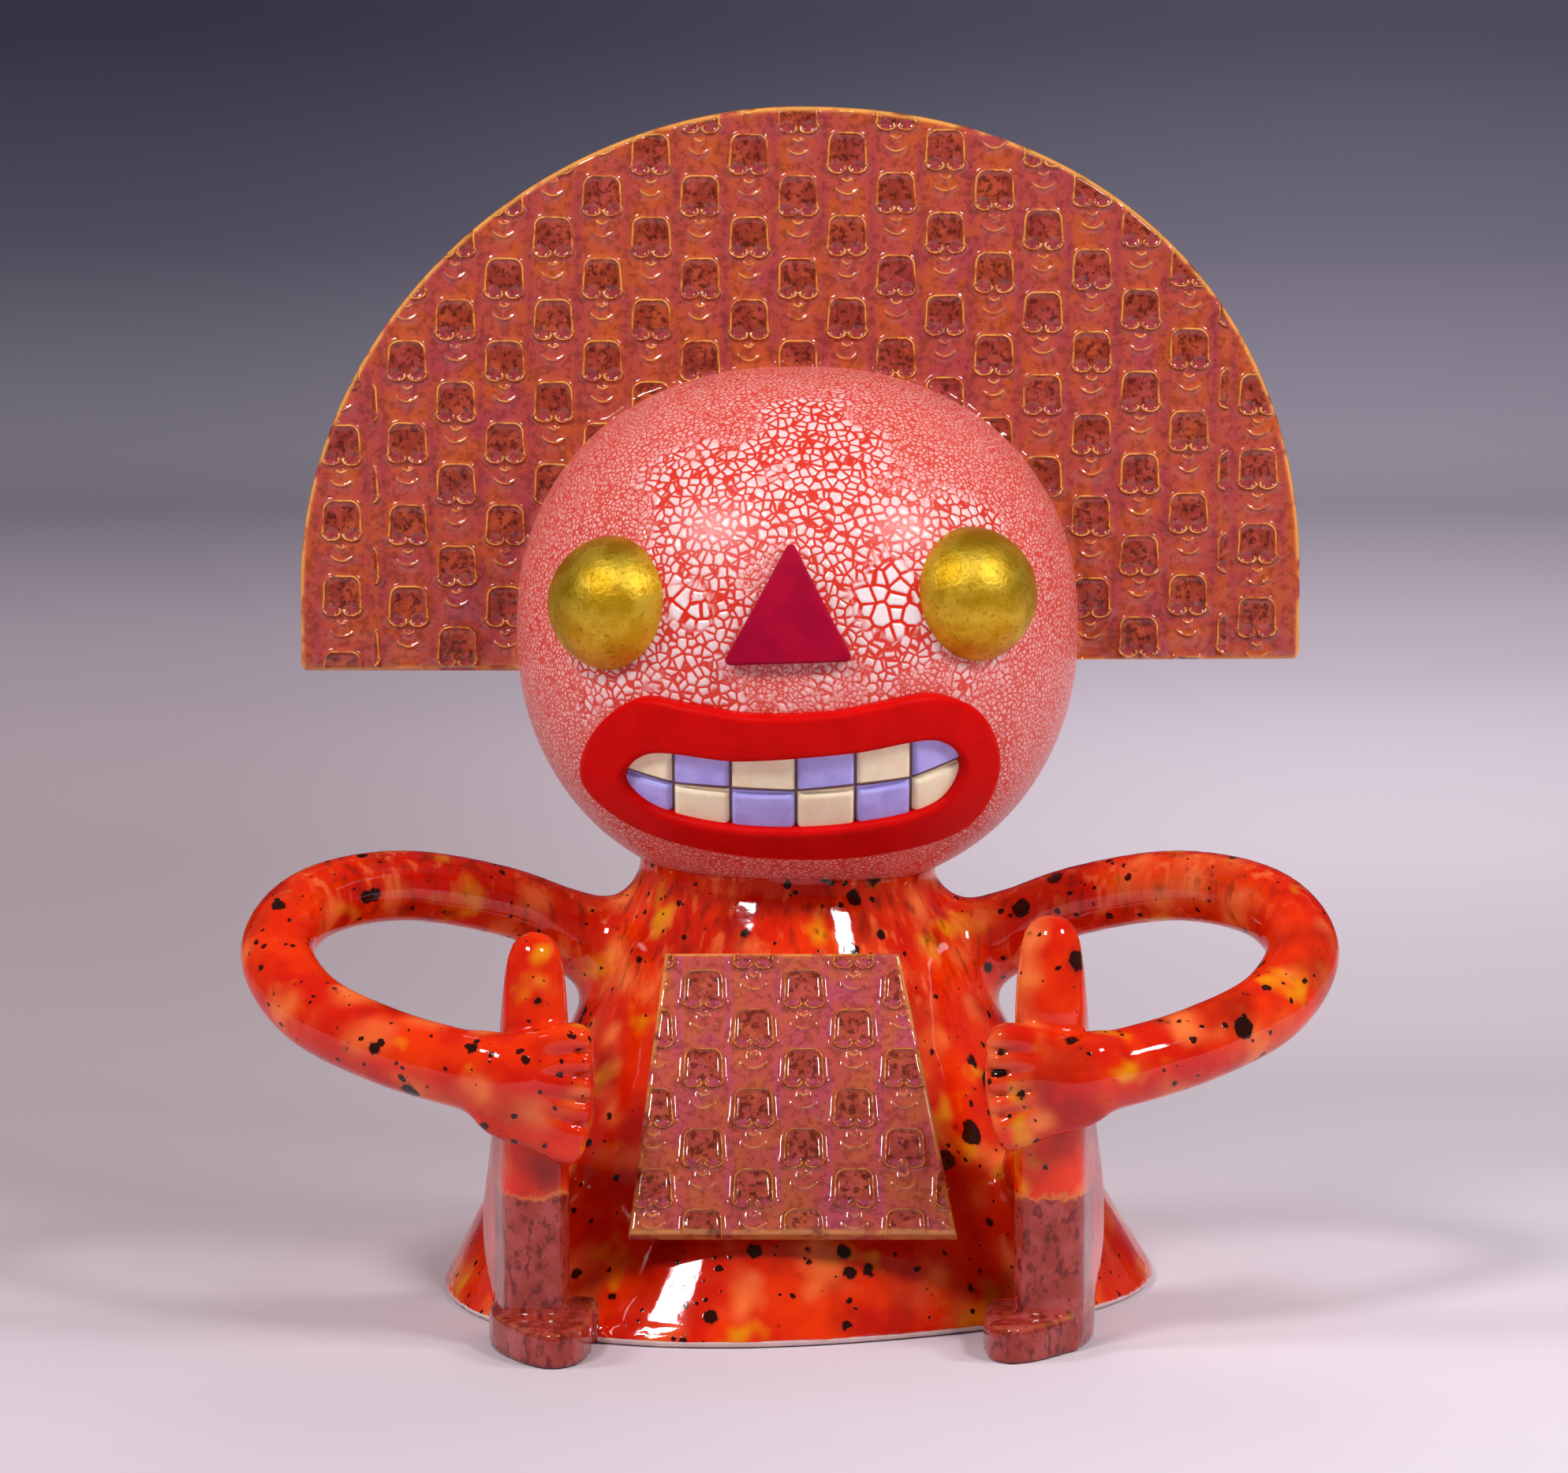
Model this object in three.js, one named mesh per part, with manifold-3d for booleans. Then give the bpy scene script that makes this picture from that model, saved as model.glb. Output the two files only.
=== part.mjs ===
// A seated ceramic figure: bell-shaped body, arms that loop out to the knees, round head, stamped fan headdress
// and stamped apron. Left and right are the figure's own.
// Millimetres, +Z up. The figure faces -Y and stands on Z = 0. The origin is the middle of its underside, and
// shapes are written from the axis of the bell, which stands BELL_BACK behind it.

import * as THREE from "three";
import { mergeVertices } from "three/addons/utils/BufferGeometryUtils.js";
import Module from "manifold-3d";

const wasm = await Module();
wasm.setup();

const DEGREE = Math.PI / 180;
const RIGHT = -1;
const LEFT = 1;

// Driving dimensions

const GAP = 0.3; // between pieces that touch
const BELL_BACK = 15.1; // of the bell's axis, behind the origin
const ROUND_STEPS = 40; // facets round the bell

const BELL = {
  neckHeight: 141,
  neckRadius: 48.5,
  rimRadius: 120.5,
  waist: 2.5, // how far the flank dips inside a straight cone
  wall: 8,
  ceiling: 124, // of the hollow
  neckShift: -1.4, // of the axis in X, at the neck
  rimShift: 2.5, // and at the rim
  wipedEdge: 2.4, // height of the bare clay band over the undercut
  undercut: 2.2,
};

// The front of the rim was pushed out of round by hand: waves round it that fade upwards and to the back.
const RIM_WAVES = [
  { count: 2, size: 7.7, at: 44 * DEGREE },
  { count: 3, size: 4.6, at: -15 * DEGREE },
];
const WAVE_HEIGHT = 75;

const HEAD = {
  x: 2.6,
  z: 222.3,
  halfWidth: 94,
  halfDepth: 91,
  above: 86.2, // centre to crown
  below: 90.7, // centre to chin
  squareness: 2.2, // 2 would be an ellipsoid
};

const FAN = {
  peak: 2.6, // of its round outline, in X
  z: 234.7, // where the outline is widest
  height: 160.1, // from there to the peak
  right: { width: 166.9, squareness: 1.93, bottom: 205.8 },
  left: { width: 168.8, squareness: 2.18, bottom: 209.8 },
  corner: 2.4,
  thickness: 6.6,
  front: 2.6, // of its front face, behind the bell's axis
};

// Rows of stamps: the columns are a pitch apart, and every other column drops half a step.
const STAMP = {
  pitch: 16.35,
  step: 27.5,
  width: 13.6,
  height: 14.4,
  relief: 1.3,
};
const FAN_STAMPS = { x: 2.8, top: 372.4, columns: 8, rise: 0.5 };
// One more column beyond each upright seam, with a step of its own.
const FAN_EDGE_STAMPS = [
  { x: -150.2, top: 289.2, step: 25.4, count: 4 },
  { x: 156.8, top: 306.2, step: 25.0, count: 4 },
];

const APRON = {
  topWidth: 77,
  bottomWidth: 106,
  length: 97,
  thickness: 7.5,
  x: 0.9,
  topShift: -3.4, // of the top edge against the bottom edge
  topHeight: 120.6,
  topFront: 63, // of its front face at the top, in front of the bell's axis
  lean: 30 * DEGREE,
};
const APRON_STAMPS = { x: 3.6, top: -6, columns: 3 };

const ARM = {
  radius: 11.3,
  wristRadius: 12.6,
  // Middle line from inside the shoulder to the wrist: outwards, back and up.
  path: [
    [36, 4, 110],
    [64, -3, 117],
    [97, -14, 130.5],
    [132, -29, 137.6],
    [159, -49, 133.4],
    [167.8, -67, 122],
    [157, -88, 107.6],
    [131, -108, 97.6],
    [103, -122, 91.8],
    [90, -127, 90],
  ],
};

// The arm thickens where it leaves the shoulder.
const SHOULDER = { radius: 13.4, halfLength: 24, from: [48, 0, 108.5], to: [78, -8, 117.5] };

const HAND = {
  front: 133.5, // in front of the bell's axis
  depth: 13,
  edge: 2.6,
  // Outline of the fanned hand, from the top of the wrist round the fingertips: outwards and up.
  outline: [
    [100, 101.6],
    [89, 102.4],
    [79, 106.4],
    [67.5, 107.4],
    [63.4, 104.5],
    [62.6, 96],
    [62.4, 87],
    [64, 78],
    [66.5, 69.4],
    [70.5, 66.8],
    [82, 71.4],
    [99, 78.6],
  ],
  spread: 1.13, // of the right hand's fingers, against the left hand's
  cutDepth: 2.4,
  cutWidth: 2.2,
  // Height of each cut between the fingers, at the tips and at its inner end.
  cuts: [
    [100, 99],
    [92.6, 93.5],
    [84.6, 87.6],
    [77, 82],
  ],
  cutFrom: 60,
  cutTo: 79,
};

const LEG = {
  edge: 5,
  front: 124, // of the shin, in front of the bell's axis
  turn: 10.5 * DEGREE, // toes in
  right: { x: 79.9, width: 21.6, knee: 138.2 },
  left: { x: 81.7, width: 23, knee: 143.8 },
  // Half of the knee's outline from the front: below the top, then a share of half the width.
  kneeFront: [
    [1.2, 0.43],
    [4.6, 0.7],
    [10, 0.85],
    [20, 0.94],
    [33, 1],
  ],
  // Side outline behind the shin: back from its front, then below the top of the knee.
  kneeSide: [
    [1.6, 19],
    [4.5, 8],
    [8, 1.5],
    [11.5, 0],
    [15, 3.5],
    [18.5, 14],
    [25, 35],
    [37, 60],
    [52, 80],
    [63, 95],
  ],
  kneeLength: 33, // from the top of the knee down to where the shin is flat
  // The foot of the fin stops inside the rim: back from the shin and up.
  heel: [
    [66, 30],
    [60, 16],
    [42, 3],
    [42, 0],
  ],
};

// The thigh runs back and inwards from behind the shin into the bell.
const THIGH = { radius: 11, halfLength: 30, from: [85, -102, 66], to: [77, -60, 42] };

const SOLE = {
  height: 12,
  // Outlines on the ground: outwards and back.
  right: [
    [95.5, -98],
    [96, -116],
    [90, -132],
    [82, -144.5],
    [75.5, -148.7],
    [68.5, -143.5],
    [64.6, -131],
    [63.6, -116],
    [65.5, -98],
  ],
  left: [
    [97.4, -92],
    [97.6, -105],
    [91, -121.5],
    [83, -132.5],
    [76, -139],
    [70, -141],
    [65, -136.5],
    [62.6, -126],
    [63, -108],
    [66.5, -92],
  ],
};

const EYE = { radius: 22.2, sunk: 7.2 }; // sunk: from the head's surface back to the ball's middle
const EYE_PLACES = { right_eye: [-56.6, 235.9], left_eye: [58.2, 239] };

const NOSE = { height: 4, outline: [[0.4, 258.2], [-21.6, 218.6], [20.4, 220]] };

const MOUTH = {
  lipHeight: 5.2,
  toothHeight: 2.2,
  // Outer edge of the lips and edge of the opening, seen from the front.
  lips: [
    [-65.8, 178],
    [-62.5, 194],
    [-48, 207],
    [-32, 205.6],
    [-14, 203],
    [14, 203.8],
    [31, 207],
    [46, 208.6],
    [60, 202],
    [66.5, 184],
    [57.8, 165],
    [27, 155.8],
    [-20, 156.4],
    [-52, 165.2],
  ],
  opening: [
    [-52.2, 181],
    [-45, 189],
    [-16, 188],
    [20, 190.7],
    [47, 193.6],
    [54, 187],
    [48.4, 174],
    [22, 166.8],
    [-18, 166],
    [-45, 172.4],
  ],
  grooveWidth: 1.2,
  grooveDepth: 1.2,
  // The line between the two rows, and the places of the upright grooves along the mouth.
  middle: [[-56, 183], [-37.8, 178.4], [1.7, 176.7], [39.3, 180.5], [58, 187.5]],
  uprights: [-37.8, -19.2, 2, 21.2, 39.2],
};

const COLOUR = {
  orangeGlaze: 0xe0401a,
  crackle: 0xe89090,
  rustGlaze: 0xb0503c,
  mauveGlaze: 0xa05058,
  gold: 0xc89820,
  crimson: 0x960a30,
  red: 0xc81004,
  toothCream: 0xe8cda8,
};

// Working with geometries and solids

function toSolid(geometry) {
  const bare = geometry.clone();
  bare.deleteAttribute("normal");
  bare.deleteAttribute("uv");
  const merged = mergeVertices(bare, 1e-4);
  const corners = merged.index.array;
  const kept = [];
  for (let i = 0; i < corners.length; i += 3) {
    const [a, b, c] = [corners[i], corners[i + 1], corners[i + 2]];
    if (a !== b && b !== c && c !== a) kept.push(a, b, c);
  }
  return new wasm.Manifold(
    new wasm.Mesh({
      numProp: 3,
      vertProperties: merged.attributes.position.array,
      triVerts: new Uint32Array(kept),
    }),
  );
}

function toMesh(name, solid, colour, roughness, metalness = 0) {
  const { vertProperties, triVerts } = solid.getMesh();
  const geometry = new THREE.BufferGeometry();
  geometry.setAttribute("position", new THREE.BufferAttribute(vertProperties, 3));
  geometry.setIndex(new THREE.BufferAttribute(triVerts, 1));
  geometry.computeVertexNormals();
  const material = new THREE.MeshStandardMaterial({ color: colour, roughness, metalness, flatShading: true });
  const mesh = new THREE.Mesh(geometry, material);
  mesh.name = name;
  mesh.position.y = BELL_BACK;
  return mesh;
}

function warp(geometry, move) {
  const place = geometry.attributes.position;
  const point = new THREE.Vector3();
  for (let i = 0; i < place.count; i++) {
    point.fromBufferAttribute(place, i);
    move(point);
    place.setXYZ(i, point.x, point.y, point.z);
  }
  return geometry;
}

function vectors(pairs) {
  return pairs.map(([a, b]) => new THREE.Vector2(a, b));
}

function smoothOutline(pairs, steps, closed = true) {
  const knots = pairs.map(([a, b]) => new THREE.Vector3(a, b, 0));
  const curve = new THREE.CatmullRomCurve3(knots, closed, "centripetal");
  const points = curve.getPoints(steps).map((p) => new THREE.Vector2(p.x, p.y));
  if (closed) points.pop();
  return new THREE.Shape(points);
}

// A shape drawn in X and Z, with its front face at Y = front and its back face behind that by depth.
function slabFromFront(shape, front, depth, edge = 0, edgeSteps = 2) {
  const geometry = new THREE.ExtrudeGeometry(shape, {
    depth: depth - 2 * edge,
    curveSegments: 6,
    bevelEnabled: edge > 0,
    bevelThickness: edge,
    bevelSize: edge,
    bevelOffset: -edge,
    bevelSegments: edgeSteps,
  });
  return geometry.rotateX(Math.PI / 2).translate(0, front + depth - edge, 0);
}

// Bell-shaped body

function bellRadius(z) {
  const down = 1 - z / BELL.neckHeight;
  const cone = THREE.MathUtils.lerp(BELL.neckRadius, BELL.rimRadius, down);
  return cone - BELL.waist * Math.sin(Math.PI * down) ** 2;
}

function shapeBell(point) {
  const angle = Math.atan2(point.y, point.x);
  const towardsFront = (1 - Math.sin(angle)) / 2;
  const fade = towardsFront * Math.max(0, 1 - point.z / WAVE_HEIGHT) ** 1.5;
  let bulge = 0;
  for (const wave of RIM_WAVES) bulge += wave.size * Math.cos(wave.count * (angle - wave.at));
  const scale = 1 + (fade * bulge) / BELL.rimRadius;
  const shift = THREE.MathUtils.lerp(BELL.rimShift, BELL.neckShift, point.z / BELL.neckHeight);
  point.x = point.x * scale + shift;
  point.y = point.y * scale;
}

function turned(profile) {
  const lathe = new THREE.LatheGeometry(vectors(profile), ROUND_STEPS);
  return toSolid(warp(lathe.rotateX(Math.PI / 2), shapeBell));
}

function bell() {
  const rings = 5;
  const profile = [[0, 0]];
  const low = BELL.undercut + BELL.wipedEdge;
  const rim = bellRadius(low);
  profile.push([rim - BELL.undercut, 0]);
  profile.push([rim + 0.4, BELL.undercut]);
  profile.push([rim + 0.2, low]);
  for (let i = 1; i <= rings; i++) {
    const z = low + ((BELL.neckHeight - low) * i) / rings;
    profile.push([bellRadius(z), z]);
  }
  profile.push([0, BELL.neckHeight]);
  return turned(profile);
}

function bellHollow() {
  const below = -5;
  const profile = [[0, below]];
  const knee = BELL.ceiling - 10;
  profile.push([bellRadius(0) - BELL.wall - 1, below]);
  for (const z of [0, 40, 80, knee]) profile.push([bellRadius(z) - BELL.wall, z]);
  profile.push([bellRadius(knee) - BELL.wall - 8, BELL.ceiling - 2]);
  profile.push([0, BELL.ceiling]);
  return turned(profile);
}

function bellSkin(offset) {
  const rows = 6;
  const profile = [[0, -1]];
  for (let i = 0; i <= rows; i++) {
    const z = -1 + ((BELL.neckHeight + 1) * i) / rows;
    profile.push([bellRadius(z) + offset, z]);
  }
  profile.push([0, BELL.neckHeight]);
  return turned(profile);
}

// Arms, hands, legs and soles, all given on the left side and mirrored for the right

function arm(side) {
  const sides = 9;
  const steps = 21;
  const ring = [];
  for (let i = 0; i < sides; i++) {
    const angle = (2 * Math.PI * i) / sides;
    ring.push(new THREE.Vector2(ARM.radius * Math.cos(angle), ARM.radius * Math.sin(angle)));
  }
  const knots = ARM.path.map(([out, y, z]) => new THREE.Vector3(side * out, y, z));
  const path = new THREE.CatmullRomCurve3(knots, false, "centripetal");
  const tube = new THREE.ExtrudeGeometry(new THREE.Shape(ring), { steps, extrudePath: path });
  const stations = path.getSpacedPoints(steps);
  warp(tube, (p) => {
    const gaps = stations.map((station) => station.distanceTo(p));
    const nearest = gaps.indexOf(Math.min(...gaps));
    const radius = THREE.MathUtils.lerp(ARM.radius, ARM.wristRadius, nearest / steps);
    p.sub(stations[nearest]).multiplyScalar(radius / ARM.radius).add(stations[nearest]);
  });
  return toSolid(tube);
}

function hand(side) {
  const top = HAND.outline[0][1];
  const spread = side === RIGHT ? HAND.spread : 1;
  const place = (out, z) => [side * out, z > top ? z : top - (top - z) * spread];
  const outline = smoothOutline(HAND.outline.map(([out, z]) => place(out, z)), 22);
  let solid = toSolid(slabFromFront(outline, -HAND.front, HAND.depth, HAND.edge, 1));
  for (const [tip, root] of HAND.cuts) {
    const half = HAND.cutWidth / 2;
    const corners = [place(HAND.cutFrom, tip - half), place(HAND.cutFrom, tip + half), place(HAND.cutTo, root)];
    const groove = slabFromFront(new THREE.Shape(vectors(corners)), -HAND.front - 1, HAND.cutDepth + 1);
    solid = solid.subtract(toSolid(groove));
  }
  return solid;
}

function leg(side) {
  const { x, width, knee } = side === RIGHT ? LEG.right : LEG.left;
  const half = width / 2;
  const rightHalf = LEG.kneeFront.map(([down, share]) => [share * half, knee - down]);
  rightHalf.push([half, 0]);
  const leftHalf = rightHalf.map(([across, z]) => [-across, z]).reverse();
  const front = new THREE.Shape(vectors([[0, knee], ...rightHalf, ...leftHalf]));
  const bullet = toSolid(slabFromFront(front, 0, 2 * LEG.heel[0][0], LEG.edge, 1));

  const back = LEG.kneeSide.map(([depth, down]) => [depth, knee - down]);
  const profile = new THREE.Shape(vectors([[0, 0], [0, knee - LEG.kneeLength], ...back, ...LEG.heel]));
  const fin = new THREE.ExtrudeGeometry(profile, { depth: 2 * width, bevelEnabled: false });
  fin.translate(0, 0, -width).rotateX(Math.PI / 2).rotateZ(Math.PI / 2);

  const solid = bullet.intersect(toSolid(fin));
  return solid.rotate([0, 0, (-side * LEG.turn) / DEGREE]).translate([side * x, -LEG.front, 0]);
}

// A ball drawn out into a spindle from one end point to another, as given on the left side.
function spindle({ radius, halfLength, from, to }, side) {
  const start = new THREE.Vector3(side * from[0], from[1], from[2]);
  const end = new THREE.Vector3(side * to[0], to[1], to[2]);
  const ball = new THREE.SphereGeometry(1, 10, 6).scale(radius, halfLength, radius);
  const along = end.clone().sub(start).normalize();
  const turn = new THREE.Quaternion().setFromUnitVectors(new THREE.Vector3(0, 1, 0), along);
  const middle = start.add(end).multiplyScalar(0.5);
  return toSolid(ball.applyQuaternion(turn).translate(middle.x, middle.y, middle.z));
}

function sole(side) {
  const pairs = side === RIGHT ? SOLE.right : SOLE.left;
  const outline = smoothOutline(pairs.map(([out, y]) => [side * out, y]), 18);
  return toSolid(new THREE.ExtrudeGeometry(outline, { depth: SOLE.height, bevelEnabled: false }));
}

function body() {
  let solid = bell();
  for (const side of [RIGHT, LEFT]) {
    for (const limb of [arm, hand, leg, sole]) solid = solid.add(limb(side));
    for (const root of [SHOULDER, THIGH]) solid = solid.add(spindle(root, side));
  }
  return solid.subtract(bellHollow()).subtract(head(GAP));
}

// Head and what is set on it

function head(offset = 0) {
  const { halfWidth, halfDepth, above, below, squareness: power } = HEAD;
  const ball = new THREE.SphereGeometry(1, 34, 18).rotateX(Math.PI / 2);
  const shaped = warp(ball, (p) => {
    const up = p.z > 0 ? above : below;
    const sum =
      Math.abs(p.x / halfWidth) ** power + Math.abs(p.y / halfDepth) ** power + Math.abs(p.z / up) ** power;
    const reach = sum ** (-1 / power);
    p.multiplyScalar(reach + offset);
  });
  return toSolid(shaped.translate(HEAD.x, 0, HEAD.z));
}

// A shape drawn in X and Z, run right through the front half of the head.
function throughFace(shape) {
  return toSolid(slabFromFront(shape, -HEAD.halfDepth - 20, HEAD.halfDepth));
}

// A shape drawn in X and Z, laid on the face as a slab of the given height.
function onFace(shape, height) {
  return throughFace(shape).intersect(head(height)).subtract(head(GAP));
}

function headSurface(x, z) {
  const { halfWidth, halfDepth, above, below, squareness: power } = HEAD;
  const up = z > HEAD.z ? above : below;
  const rest = 1 - Math.abs((x - HEAD.x) / halfWidth) ** power - Math.abs((z - HEAD.z) / up) ** power;
  return -halfDepth * rest ** (1 / power);
}

function eye([x, z]) {
  const ball = new THREE.SphereGeometry(EYE.radius, 18, 12).translate(x, headSurface(x, z) + EYE.sunk, z);
  return toSolid(ball).subtract(head(GAP));
}

function nose() {
  return onFace(new THREE.Shape(vectors(NOSE.outline)), NOSE.height);
}

function lips() {
  const opening = throughFace(smoothOutline(MOUTH.opening, 24));
  return onFace(smoothOutline(MOUTH.lips, 34), MOUTH.lipHeight).subtract(opening);
}

function teeth() {
  const shape = smoothOutline(MOUTH.opening, 24);
  const inset = shape.getPoints().map((p) => {
    const centre = new THREE.Vector2(1, 178.5);
    const away = p.clone().sub(centre);
    return p.sub(away.setLength(GAP + 0.1));
  });
  const slab = onFace(new THREE.Shape(inset), MOUTH.toothHeight);
  const deep = MOUTH.toothHeight - MOUTH.grooveDepth;
  const half = MOUTH.grooveWidth / 2;
  const middle = smoothOutline(MOUTH.middle, 8, false).getPoints();
  const lower = middle.map((p) => new THREE.Vector2(p.x, p.y - half));
  const upper = middle.map((p) => new THREE.Vector2(p.x, p.y + half)).reverse();
  const shapes = [new THREE.Shape([...lower, ...upper])];
  for (const x of MOUTH.uprights) {
    shapes.push(new THREE.Shape(vectors([[x - half, 150], [x + half, 150], [x + half, 200], [x - half, 200]])));
  }
  let grooves = null;
  for (const one of shapes) {
    const cut = throughFace(one);
    grooves = grooves ? grooves.add(cut) : cut;
  }
  return slab.subtract(grooves.subtract(head(deep)));
}

// Stamped slabs

// One raised skull, with its top at the origin and its face towards -Y at Y = 0.
function stamp() {
  const half = STAMP.width / 2;
  const outline = new THREE.Shape(
    vectors([
      [-0.62 * half, 0],
      [0.62 * half, 0],
      [half, -0.3 * STAMP.height],
      [0.7 * half, -STAMP.height],
      [-0.7 * half, -STAMP.height],
      [-half, -0.3 * STAMP.height],
    ]),
  );
  return slabFromFront(outline, -STAMP.relief, STAMP.relief + 1);
}

function stamps(places) {
  const one = toSolid(stamp());
  return wasm.Manifold.union(places.map(([x, z]) => one.translate([x, 0, z])));
}

function fanOutline() {
  const steps = 28;
  const points = [];
  for (let i = 0; i <= steps; i++) {
    const angle = (Math.PI * i) / steps;
    const across = Math.cos(angle);
    const up = Math.sin(angle);
    const { width, squareness: power } = across > 0 ? FAN.left : FAN.right;
    const reach = (Math.abs(across) ** power + up ** power) ** (-1 / power);
    points.push([FAN.peak + width * reach * across, FAN.z + FAN.height * reach * up]);
  }
  const leftEnd = FAN.peak + FAN.left.width;
  const rightEnd = FAN.peak - FAN.right.width;
  points.push([rightEnd, FAN.right.bottom + FAN.corner], [rightEnd + FAN.corner, FAN.right.bottom]);
  points.push([leftEnd - FAN.corner, FAN.left.bottom], [leftEnd, FAN.left.bottom + FAN.corner]);
  return new THREE.Shape(vectors(points));
}

function fanPlaces() {
  const places = [];
  for (let column = -FAN_STAMPS.columns; column <= FAN_STAMPS.columns; column++) {
    const x = FAN_STAMPS.x + column * STAMP.pitch;
    const half = column % 2 ? STAMP.step / 2 : 0;
    const top = FAN_STAMPS.top + half + FAN_STAMPS.rise * Math.max(0, column);
    for (let z = top; z > FAN.left.bottom; z -= STAMP.step) places.push([x, z]);
  }
  for (const edge of FAN_EDGE_STAMPS) {
    for (let i = 0; i < edge.count; i++) places.push([edge.x, edge.top - i * edge.step]);
  }
  return places.filter(([x, z]) => {
    const middle = z - STAMP.height / 2;
    const showsBesideHead = Math.hypot(x - HEAD.x, middle - HEAD.z) > HEAD.halfWidth - 2;
    const meetsFan = Math.hypot(x - FAN.peak, middle - FAN.z) < FAN.left.width;
    return showsBesideHead && meetsFan;
  });
}

function headdress() {
  const slab = toSolid(slabFromFront(fanOutline(), FAN.front, FAN.thickness));
  const reach = toSolid(slabFromFront(fanOutline(), FAN.front - STAMP.relief - 1, FAN.thickness + STAMP.relief));
  const raised = stamps(fanPlaces()).translate([0, FAN.front, 0]).intersect(reach);
  return slab.add(raised).subtract(head(GAP));
}

function apron() {
  const { topWidth, bottomWidth, length, topShift } = APRON;
  const outline = new THREE.Shape(
    vectors([
      [topShift - topWidth / 2, 0],
      [topShift + topWidth / 2, 0],
      [bottomWidth / 2, -length],
      [-bottomWidth / 2, -length],
    ]),
  );
  const places = [];
  for (let column = -APRON_STAMPS.columns; column <= APRON_STAMPS.columns; column++) {
    const half = column % 2 ? STAMP.step / 2 : 0;
    for (let z = APRON_STAMPS.top + half; z > -length; z -= STAMP.step) {
      places.push([APRON_STAMPS.x + column * STAMP.pitch, z]);
    }
  }
  const slab = toSolid(slabFromFront(outline, 0, APRON.thickness));
  const reach = toSolid(slabFromFront(outline, -STAMP.relief - 1, APRON.thickness));
  return slab
    .add(stamps(places).intersect(reach))
    .rotate([-APRON.lean / DEGREE, 0, 0])
    .translate([APRON.x, -APRON.topFront, APRON.topHeight])
    .subtract(bellSkin(GAP));
}

// The figure

const figure = new THREE.Group();
figure.add(toMesh("body", body(), COLOUR.orangeGlaze, 0.15));
figure.add(toMesh("head", head(), COLOUR.crackle, 0.25));
figure.add(toMesh("headdress", headdress(), COLOUR.rustGlaze, 0.3));
figure.add(toMesh("apron", apron(), COLOUR.mauveGlaze, 0.25));
for (const [name, place] of Object.entries(EYE_PLACES)) {
  figure.add(toMesh(name, eye(place), COLOUR.gold, 0.35, 1));
}
figure.add(toMesh("nose", nose(), COLOUR.crimson, 0.6));
figure.add(toMesh("lips", lips(), COLOUR.red, 0.5));
figure.add(toMesh("teeth", teeth(), COLOUR.toothCream, 0.5));

export default figure;
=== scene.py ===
"""A seated ceramic figure in a plain studio, dressed with glazes, gold leaf and stamped relief.

The figure is worked out in millimetres from the axis of its bell-shaped body and faces -Y. Left and right are the
figure's own. Each sub-assembly is a dataclass that holds its sizes and builds its own mesh; each finish is a frozen
dataclass that builds one material.
"""

import logging
from dataclasses import dataclass, field
from enum import Enum
from typing import Callable, Iterable, Sequence

import bpy
import numpy as np
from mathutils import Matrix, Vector


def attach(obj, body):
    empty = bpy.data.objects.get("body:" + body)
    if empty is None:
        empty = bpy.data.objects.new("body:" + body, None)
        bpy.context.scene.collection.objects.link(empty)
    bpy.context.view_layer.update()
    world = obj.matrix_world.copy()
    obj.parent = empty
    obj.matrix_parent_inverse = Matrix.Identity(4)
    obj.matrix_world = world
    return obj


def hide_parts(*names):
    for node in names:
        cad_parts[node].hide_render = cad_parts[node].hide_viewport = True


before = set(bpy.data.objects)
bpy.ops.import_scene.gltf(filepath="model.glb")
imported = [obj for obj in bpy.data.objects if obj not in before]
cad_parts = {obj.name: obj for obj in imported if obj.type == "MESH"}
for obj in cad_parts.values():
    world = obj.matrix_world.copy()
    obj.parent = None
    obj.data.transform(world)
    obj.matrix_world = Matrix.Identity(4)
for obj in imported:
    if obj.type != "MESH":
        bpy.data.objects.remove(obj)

LOG = logging.getLogger("figure")
MM = 0.001
BELL_BACK = 15.1  # of the bell's axis, behind the origin
Array = np.ndarray
Field = Callable[[Array, Array, Array], Array]


class Side(Enum):
    """The figure's own sides, as the sign of X."""

    RIGHT = -1
    LEFT = 1


class Finish(Enum):
    """The record's material slots."""

    ORANGE = "orange_glaze"
    CRACKLE = "crackle_glaze"
    RUST = "rust_glaze"
    MAUVE = "mauve_glaze"
    GOLD = "gold_leaf"
    CRIMSON = "crimson_matt"
    RED = "red_matt"
    TEETH = "teeth_satin"


# Curves and surfaces


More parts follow.
